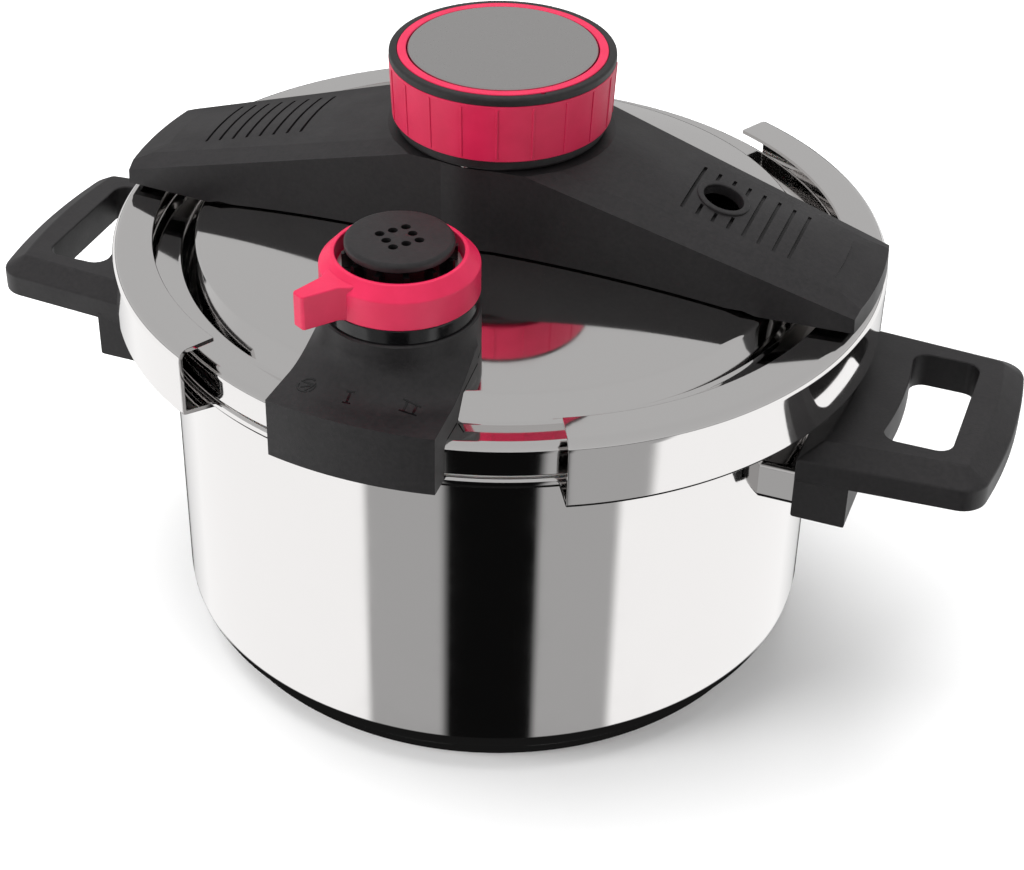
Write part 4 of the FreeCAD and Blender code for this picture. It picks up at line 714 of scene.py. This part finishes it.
def makeValve():
    size = valveSize
    centre = (0, valvePlace)
    mesh = bmesh.new()
    deck, tower, flare = size["deck"], size["tower"], size["flare"]
    path = [(size["bore"], size["floor"]), (size["bore"], size["top"])]
    path += [(tower - size["edge"], size["top"]), (tower, size["top"] - size["edge"])]
    path += arcPoints((tower + flare, deck + flare), flare, 180, 270, 14)
    path += [(size["deckReach"], deck - size["deckFall"]), (size["deckReach"], 120), (0, 120)]
    path += [(0, size["floor"])]
    lathe(mesh, path, centre, 192)
    housing = asObject("housing", mesh)

    half, reach = size["half"], size["reach"]
    corner = math.degrees(math.asin(half / reach))
    front = arcPoints((0, 0), reach, -90 - corner, -90 + corner, 16)
    outline = bmesh.new()
    prism(outline, [(-size["sideHalf"], valvePlace)] + front
          + [(size["sideHalf"], valvePlace)], 110, 180)
    plan = asObject("plan", outline)
    around = bmesh.new()
    rod(around, tower + 0.02, 110, 180, centre, 192)
    combine(plan, asObject("around", around), "UNION")
    combine(housing, plan, "INTERSECT")

    # The underside follows the lid's dome, shoulder, flange and skirt
    envelope = bmesh.new()
    lathe(envelope, [(r, domeLevel(r) + 0.3) for r in range(0, 100, 10)] + [
        (101.1, domeLevel(101) + 0.3), (106.7, 139.1), (115.1, 139.1), (117.4, 138.2),
        (118.4, 135.8), (118.4, 100), (0, 100),
    ], steps=192)
    combine(housing, asObject("envelope", envelope), "DIFFERENCE")
    skirt = bmesh.new()
    block(skirt, (-60, -140, 90), (60, -40, size["low"]))
    mesh = reopen(combine(housing, asObject("skirt", skirt), "DIFFERENCE"))
    soften(mesh, 1.6, 4, 35, lambda co: co.y < -119 and co.z > 143)
    soften(mesh, 0.5, 2, 35, lambda co: 126.2 < co.z < 163 and co.y < -86 and abs(co.x) > 24.6)
    finishPiece("valveHousing", mesh, "root", materials["black_plastic"],
                ["valve_housing"])

    mesh = bmesh.new()
    lathe(mesh, roundPath([
        (18.1, 163.6), (23.5, 163.6, 0.3), (23.5, 168.6, 0.8), (18.1, 168.6),
    ], 4), centre, 128)
    finishPiece("valveCollar", mesh, "root", materials["gloss_black"],
                ["valve_collar"])

    mesh = bmesh.new()
    lathe(mesh, roundPath([
        (5.1, 154.6), (18, 154.6), (18, 176.5), (14.5, 176.5), (14.5, 182.4), (9, 182.4),
        (9, 157.1), (5.1, 157.1),
    ], 3), centre, 96)
    for index in range(12):
        fin = block(mesh, (13.5, -0.8, 177.8), (17.3, 0.8, 182.4))
        bmesh.ops.rotate(mesh, cent=(0, 0, 0), verts=fin,
                         matrix=Matrix.Rotation(math.radians(30 * index), 3, "Z"))
        bmesh.ops.translate(mesh, vec=(0, valvePlace, 0), verts=fin)
    finishPiece("valveNeck", mesh, "root", materials["gloss_black"],
                ["valve_neck"])

    mesh = bmesh.new()
    lathe(mesh, roundPath([
        (0, 183.6), (9.1, 183.6), (9.1, 182.5), (12, 182.5), (12, 183.6), (16.5, 183.6, 0.5),
        (16.5, 186.4, 1.3), (0, 186.4),
    ], 5), centre, 128)
    cap = asObject("cap", mesh)
    holes = bmesh.new()
    for column in (-1, 0, 1):
        for line in (-1, 0, 1):
            if column or line:
                at = Matrix.Rotation(math.radians(50), 2) @ Vector((column, line)) * 4.35
                rod(holes, 1.5, 180, 190, (at.x, at.y + valvePlace), 24)
    mesh = reopen(combine(cap, asObject("holes", holes), "DIFFERENCE"))
    soften(mesh, 0.2, 2, 50, lambda co: co.z > 186.3)
    finishPiece("valveCap", mesh, "root", materials["black_plastic"],
                ["valve_cap"])
    print("valve made")


def makeSelector():
    size = {"bore": 18.06, "ring": 24.2, "low": 168.8, "shoulder": 178.2, "top": 182.2,
            "mouth": 19.6, "ledge": 176.5, "leverTop": 180.4, "turn": 240}
    mesh = bmesh.new()
    lathe(mesh, roundPath([
        (size["bore"], size["low"]), (size["ring"], size["low"], 0.5),
        (size["ring"], size["shoulder"], 1.2), (size["mouth"] + 0.9, size["top"], 0.8),
        (size["mouth"] - 0.3, size["top"], 0.4), (size["mouth"] - 0.4, size["top"] - 1.8),
        (size["mouth"] - 0.4, size["ledge"]), (size["bore"], size["ledge"]),
    ], 5), (0, 0), 160)
    lever = bmesh.new()
    prism(lever, [(19.7, -7.2), (22.5, -6.2), (25.5, -4.2), (36.3, -2.6), (37, -1.9), (37, 1.9),
                  (36.3, 2.6), (25.5, 4.2), (22.5, 6.2), (19.7, 7.2)],
          size["low"] + 0.3, size["leverTop"])
    soften(lever, 0.6, 3, 40)
    addShape(mesh, lever)
    bmesh.ops.rotate(mesh, cent=(0, 0, 0), verts=mesh.verts,
                     matrix=Matrix.Rotation(math.radians(size["turn"]), 3, "Z"))
    bmesh.ops.translate(mesh, vec=(0, valvePlace, 0), verts=mesh.verts)
    finishPiece("selectorRing", mesh, "selector", materials["pink_grip"],
                ["selector_ring"])
    print("selector made")


# Marks on the dial

def deckLevel(x, y):
    # Height of the valve housing's deck: a hollow curve by the tower, then a gentle fall
    size = valveSize
    away = math.hypot(x, y - valvePlace)
    flare, foot = size["flare"], size["tower"] + size["flare"]
    if away < foot:
        return size["deck"] + flare - math.sqrt(max(flare ** 2 - (foot - away) ** 2, 0))
    return size["deck"] - size["deckFall"] * (away - foot) / (size["deckReach"] - foot)


def makeMarks():
    size = {"line": 0.7, "height": 4.2, "raise": 0.12, "sink": 0.6}
    places = {"dialSteam": (-18.3, -113.2), "dialOne": (-3.6, -115.6), "dialTwo": (15, -113.2)}

    def stroke(mesh, low, high):
        made = block(mesh, (*low, -size["sink"]), (*high, size["raise"]))
        edges = list({e for v in made for e in v.link_edges})
        bmesh.ops.subdivide_edges(mesh, edges=edges, cuts=2, use_grid_fill=True)

    half, line = size["height"] / 2, size["line"]
    for name, place in places.items():
        mesh = bmesh.new()
        if name == "dialSteam":
            for start, turn in ((150, 100), (270, 130), (50, 60)):
                lathe(mesh, [(2.5, -size["sink"]), (3.05, -size["sink"]), (3.05, size["raise"]),
                             (2.5, size["raise"])], steps=16, turn=turn, start=start)
            for offset in (-1.1, 0.2, 1.5):
                before = set(mesh.verts)
                stroke(mesh, (offset - 0.3, -1.7), (offset + 0.3, 2.4))
                bmesh.ops.rotate(mesh, cent=(0, 0, 0), matrix=Matrix.Rotation(-0.6, 3, "Z"),
                                 verts=[v for v in mesh.verts if v not in before])
        else:
            stems = [0] if name == "dialOne" else [-1.5, 1.5]
            wide = 1.3 if name == "dialOne" else 2.8
            for x in stems:
                stroke(mesh, (x - line / 2, -half + line), (x + line / 2, half - line))
            for y in (-half + line / 2, half - line / 2):
                stroke(mesh, (-wide, y - line / 3), (wide, y + line / 3))
        for vert in mesh.verts:
            x, y = vert.co.x + place[0], vert.co.y + place[1]
            vert.co = Vector((x, y, vert.co.z + deckLevel(x, y)))
        finishPiece(name, mesh, "root", materials["gloss_black"])
    print("marks made")


# Handles

handleSize = {"face": 116.5, "back": 134, "blockLow": 85, "low": 100.4, "top": 113, "tip": 177.98,
              "shoulder": 167.3, "half": 42.5, "endHalf": 39.1, "corner": 175.6,
              "cornerHalf": 31.5, "round": 9, "bevel": 4.5, "bevelWidth": 7.5, "bevelEnds": 6.7,
              "bevelMiddle": 9.4, "holeIn": 141.4, "holeOut": 161.8, "holeHalf": 26.5,
              "holeRound": 5, "screwSink": 4.5, "screwSpread": 20, "screwLevel": 91}
bracketSize = {"reach": 124, "half": 38, "low": 87, "top": 101, "round": 2.2, "gap": 0.3,
               "wall": 110.9}


def handleOutline(inset, ends, middle):
    # Plan of the handle with its outer sides moved in, and its inner side bowed
    size = handleSize
    bulge = size["tip"] - size["corner"]
    tipRadius = (size["cornerHalf"] ** 2 + bulge ** 2) / (2 * bulge)
    lean = size["cornerHalf"] / tipRadius
    taper = (size["half"] - size["endHalf"]) / (size["shoulder"] - size["face"])
    half, endHalf = size["half"] - inset, size["endHalf"] - inset
    shoulder = size["shoulder"] - inset * taper
    corner = size["corner"] - inset * math.sqrt(1 - lean ** 2)
    cornerHalf = size["cornerHalf"] - inset * lean
    small, large = size["round"] - inset, tipRadius - inset
    path = arcBetween((shoulder, -endHalf), (corner, -cornerHalf), small, 8)
    path += arcBetween((corner, -cornerHalf), (corner, cornerHalf), large, 14)[1:-1]
    path += arcBetween((corner, cornerHalf), (shoulder, endHalf), small, 8)
    bow = [half * (1 - step / 6) for step in range(13)]
    return path + [(ends + (middle - ends) * (1 - (y / half) ** 2), y) for y in bow]


def handleWindow():
    # Plan of the finger hole, whose inner side runs round the pot
    size = handleSize
    edge = size["holeHalf"] - size["holeRound"]
    inner = math.sqrt(size["holeIn"] ** 2 - edge ** 2)
    path = roundPath([
        (inner, -size["holeHalf"], size["holeRound"]),
        (size["holeOut"], -size["holeHalf"], size["holeRound"]),
        (size["holeOut"], size["holeHalf"], size["holeRound"]),
        (inner, size["holeHalf"], size["holeRound"]),
    ], 6)
    return path + arcBetween((inner, edge), (inner, -edge), -size["holeIn"], 10)[1:-1]


def handleLoop():
    # The loop as bridged outlines, with a bevel round its top
    size = handleSize
    mesh = bmesh.new()

    def loop(path, height):
        verts = [mesh.verts.new((x, y, height)) for x, y in path]
        return [mesh.edges.new((verts[i - 1], verts[i])) for i in range(len(verts))]
    face = size["face"]
    plan = handleOutline(0, face, face)
    plateau = handleOutline(size["bevelWidth"], face + size["bevelEnds"],
                            face + size["bevelMiddle"])
    outer = [loop(plan, size["low"]), loop(plan, size["top"] - size["bevel"]),
             loop(plateau, size["top"])]
    inner = [loop(handleWindow(), size["low"]), loop(handleWindow(), size["top"])]
    for loops in (outer, inner):
        for first, second in zip(loops, loops[1:]):
            bmesh.ops.bridge_loops(mesh, edges=first + second)
    bmesh.ops.triangle_fill(mesh, edges=outer[0] + inner[0], use_beauty=True)
    bmesh.ops.triangle_fill(mesh, edges=outer[2] + inner[1], use_beauty=True)
    bmesh.ops.recalc_face_normals(mesh, faces=mesh.faces)
    bmesh.ops.dissolve_limit(mesh, angle_limit=math.radians(0.5), verts=mesh.verts,
                             edges=mesh.edges)
    soften(mesh, 0.7, 3, 15)
    return mesh


def makeHandles():
    size, bracket = handleSize, bracketSize
    for side, turned in (("right", 0), ("left", 180)):
        turn = Matrix.Rotation(math.radians(turned), 3, "Z")
        handle = asObject("handle", handleLoop())
        foot = bmesh.new()
        block(foot, (size["face"], -size["half"] + 1, size["blockLow"]),
              (size["back"], size["half"] - 1, size["low"] + 2))
        soften(foot, 1.6, 3, 60, lambda co: co.z < size["low"])
        combine(handle, asObject("foot", foot), "UNION")
        room = bmesh.new()
        roomHalf = bracket["half"] + bracket["gap"]
        block(room, (size["face"] - 1, -roomHalf, bracket["low"] - bracket["gap"]),
              (bracket["reach"] + bracket["gap"], roomHalf, bracket["top"] + bracket["gap"]))
        for y in (-size["screwSpread"], size["screwSpread"]):
            made = rod(room, size["screwSink"], -7, 7, steps=32)
            bmesh.ops.rotate(room, cent=(0, 0, 0), verts=made,
                             matrix=Matrix.Rotation(math.radians(90), 3, "Y"))
            bmesh.ops.translate(room, vec=(size["back"] + 3, y, size["screwLevel"]), verts=made)
        mesh = reopen(combine(handle, asObject("room", room), "DIFFERENCE"))
        bmesh.ops.rotate(mesh, cent=(0, 0, 0), matrix=turn, verts=mesh.verts)
        finishPiece("handle." + side, mesh, "root", materials["black_plastic"],
                    ["handle_" + side])

        mesh = bmesh.new()
        block(mesh, (100.5, -bracket["half"], bracket["low"]),
              (bracket["reach"], bracket["half"], bracket["top"]))
        soften(mesh, bracket["round"], 4, 60)
        stamping = asObject("stamping", mesh)
        wall = bmesh.new()
        rod(wall, bracket["wall"], 60, 120, steps=192)
        mesh = reopen(combine(stamping, asObject("wall", wall), "DIFFERENCE"))
        bmesh.ops.rotate(mesh, cent=(0, 0, 0), matrix=turn, verts=mesh.verts)
        finishPiece("handleBracket." + side, mesh, "root",
                    materials["polished_steel"], ["handle_bracket_" + side])
    print("handles made")


makePot()
makeLid()
makeJaws()
makeCover()
makeKnob()
makeValve()
makeSelector()
makeMarks()
makeHandles()


# Floor and light

def makeStage():
    mesh = bmesh.new()
    bmesh.ops.create_grid(mesh, x_segments=8, y_segments=8, size=12)
    bmesh.ops.translate(mesh, vec=(0, 0, -0.0004), verts=mesh.verts)
    floor = asObject("floor", mesh)
    # Matt painted studio floor: nearly even white with very faint clouds
    material, tree, shader, where = startMaterial("paleFloor", Roughness=0.9)
    clouds = addNode(tree, "ShaderNodeTexNoise",
                     [("Vector", where), ("Scale", perMetre(333)), ("Detail", 2)])
    colour = setRamp(addNode(tree, "ShaderNodeValToRGB", [("Fac", clouds.outputs[0])]),
                     [(0.3, grey(0.93)), (0.7, grey(0.95))])
    join(tree, colour.outputs[0], shader, "Base Color")
    floor.data.materials.append(material)
    floor.visible_glossy = False

    lights = {
        "above": {"power": 56, "size": 2.6, "at": (-0.35, 0.4, 1.9)},
        "left": {"power": 13, "size": 0.7, "at": (-0.9, -1.0, 0.7)},
        "right": {"power": 3, "size": 0.8, "at": (1.4, -0.6, 0.7)},
    }
    for name, values in lights.items():
        light = bpy.data.lights.new(name, "AREA")
        light.shape = "DISK"
        light.size = values["size"]
        light.energy = values["power"]
        lamp = bpy.data.objects.new(name, light)
        lamp.location = values["at"]
        aim = Vector((0, 0, 0.1)) - lamp.location
        lamp.rotation_euler = aim.to_track_quat("-Z", "Y").to_euler()
        lamp.visible_glossy = False
        scene.collection.objects.link(lamp)

    # A room of pale and dark panels, which the steel reflects
    world = bpy.data.worlds.new("studio")
    scene.world = world
    world.use_nodes = True
    tree = world.node_tree
    tree.nodes.clear()
    where = addNode(tree, "ShaderNodeTexCoord").outputs["Generated"]
    turned = addNode(tree, "ShaderNodeMapping",
                     [("Vector", where), ("Rotation", (0, 0, math.radians(69.65)))])
    around = addNode(tree, "ShaderNodeTexGradient", [("Vector", turned.outputs[0])],
                     gradient_type="RADIAL")
    dark, middle, bright = grey(0.004), grey(0.42), grey(1.1)
    stops = [(0, dark), (16, dark), (22, grey(0.7)), (44, bright), (132, bright), (135, middle),
             (161, middle), (164, dark), (194, dark), (197, middle), (223, middle), (226, bright),
             (316, bright), (338, grey(0.7)), (344, dark), (360, dark)]
    panels = setRamp(addNode(tree, "ShaderNodeValToRGB", [("Fac", around.outputs[1])]),
                     [(angle / 360, colour) for angle, colour in stops])
    parts = addNode(tree, "ShaderNodeSeparateXYZ", [("Vector", where)])
    height = addNode(tree, "ShaderNodeMapRange",
                     [("Value", parts.outputs["Z"]), ("From Min", -1), ("From Max", 1)])
    sky = setRamp(addNode(tree, "ShaderNodeValToRGB", [("Fac", height.outputs[0])]),
                  [(0.5, grey(0.62)), (0.62, grey(0.52)), (1, grey(0.5))])
    ground = setRamp(addNode(tree, "ShaderNodeValToRGB", [("Fac", height.outputs[0])]),
                     [(0.13, grey(0)), (0.155, grey(1)), (0.48, grey(1)), (0.5, grey(0))])
    low = addNode(tree, "ShaderNodeMix",
                  [(0, ground.outputs[0]), (6, grey(0.01)), (7, panels.outputs[0])],
                  data_type="RGBA")
    upper = addNode(tree, "ShaderNodeMath", [(0, parts.outputs["Z"]), (1, 0.03)],
                    operation="GREATER_THAN")
    mixed = addNode(tree, "ShaderNodeMix",
                    [(0, upper.outputs[0]), (6, low.outputs[2]), (7, sky.outputs[0])],
                    data_type="RGBA")
    glow = addNode(tree, "ShaderNodeBackground", [("Color", mixed.outputs[2]), ("Strength", 1)])
    # Seen directly, the room is a plain pale backdrop
    backdrop = addNode(tree, "ShaderNodeBackground", [("Color", grey(1)), ("Strength", 1)])
    seen = addNode(tree, "ShaderNodeLightPath").outputs["Is Camera Ray"]
    chosen = addNode(tree, "ShaderNodeMixShader", [(0, seen), (1, glow.outputs[0]),
                                                   (2, backdrop.outputs[0])])
    addNode(tree, "ShaderNodeOutputWorld", [("Surface", chosen.outputs[0])])
    scene.view_settings.view_transform = "Standard"
    print("stage made")


def makeCamera():
    size = {"azimuth": 20.348, "elevation": 35.344, "roll": 0.018, "lens": 75.62,
            "at": (0.21816, -0.58826, 0.50676), "shift": (0.0155, -0.0067)}
    azimuth, elevation = math.radians(size["azimuth"]), math.radians(size["elevation"])
    back = Vector((math.sin(azimuth) * math.cos(elevation), -math.cos(azimuth) * math.cos(elevation),
                   math.sin(elevation)))
    right = Vector((math.cos(azimuth), math.sin(azimuth), 0))
    turned = Matrix.Rotation(size["roll"], 3, back) @ right
    camera = bpy.data.objects.new("camera", bpy.data.cameras.new("camera"))
    camera.matrix_world = Matrix.Translation(size["at"]) @ Matrix(
        (turned, back.cross(turned), back)).transposed().to_4x4()
    camera.data.lens = size["lens"]
    camera.data.sensor_width = 36
    camera.data.shift_x, camera.data.shift_y = size["shift"]
    camera.data.clip_start = 0.01
    scene.collection.objects.link(camera)
    scene.camera = camera
    print("camera set")


makeStage()
makeCamera()
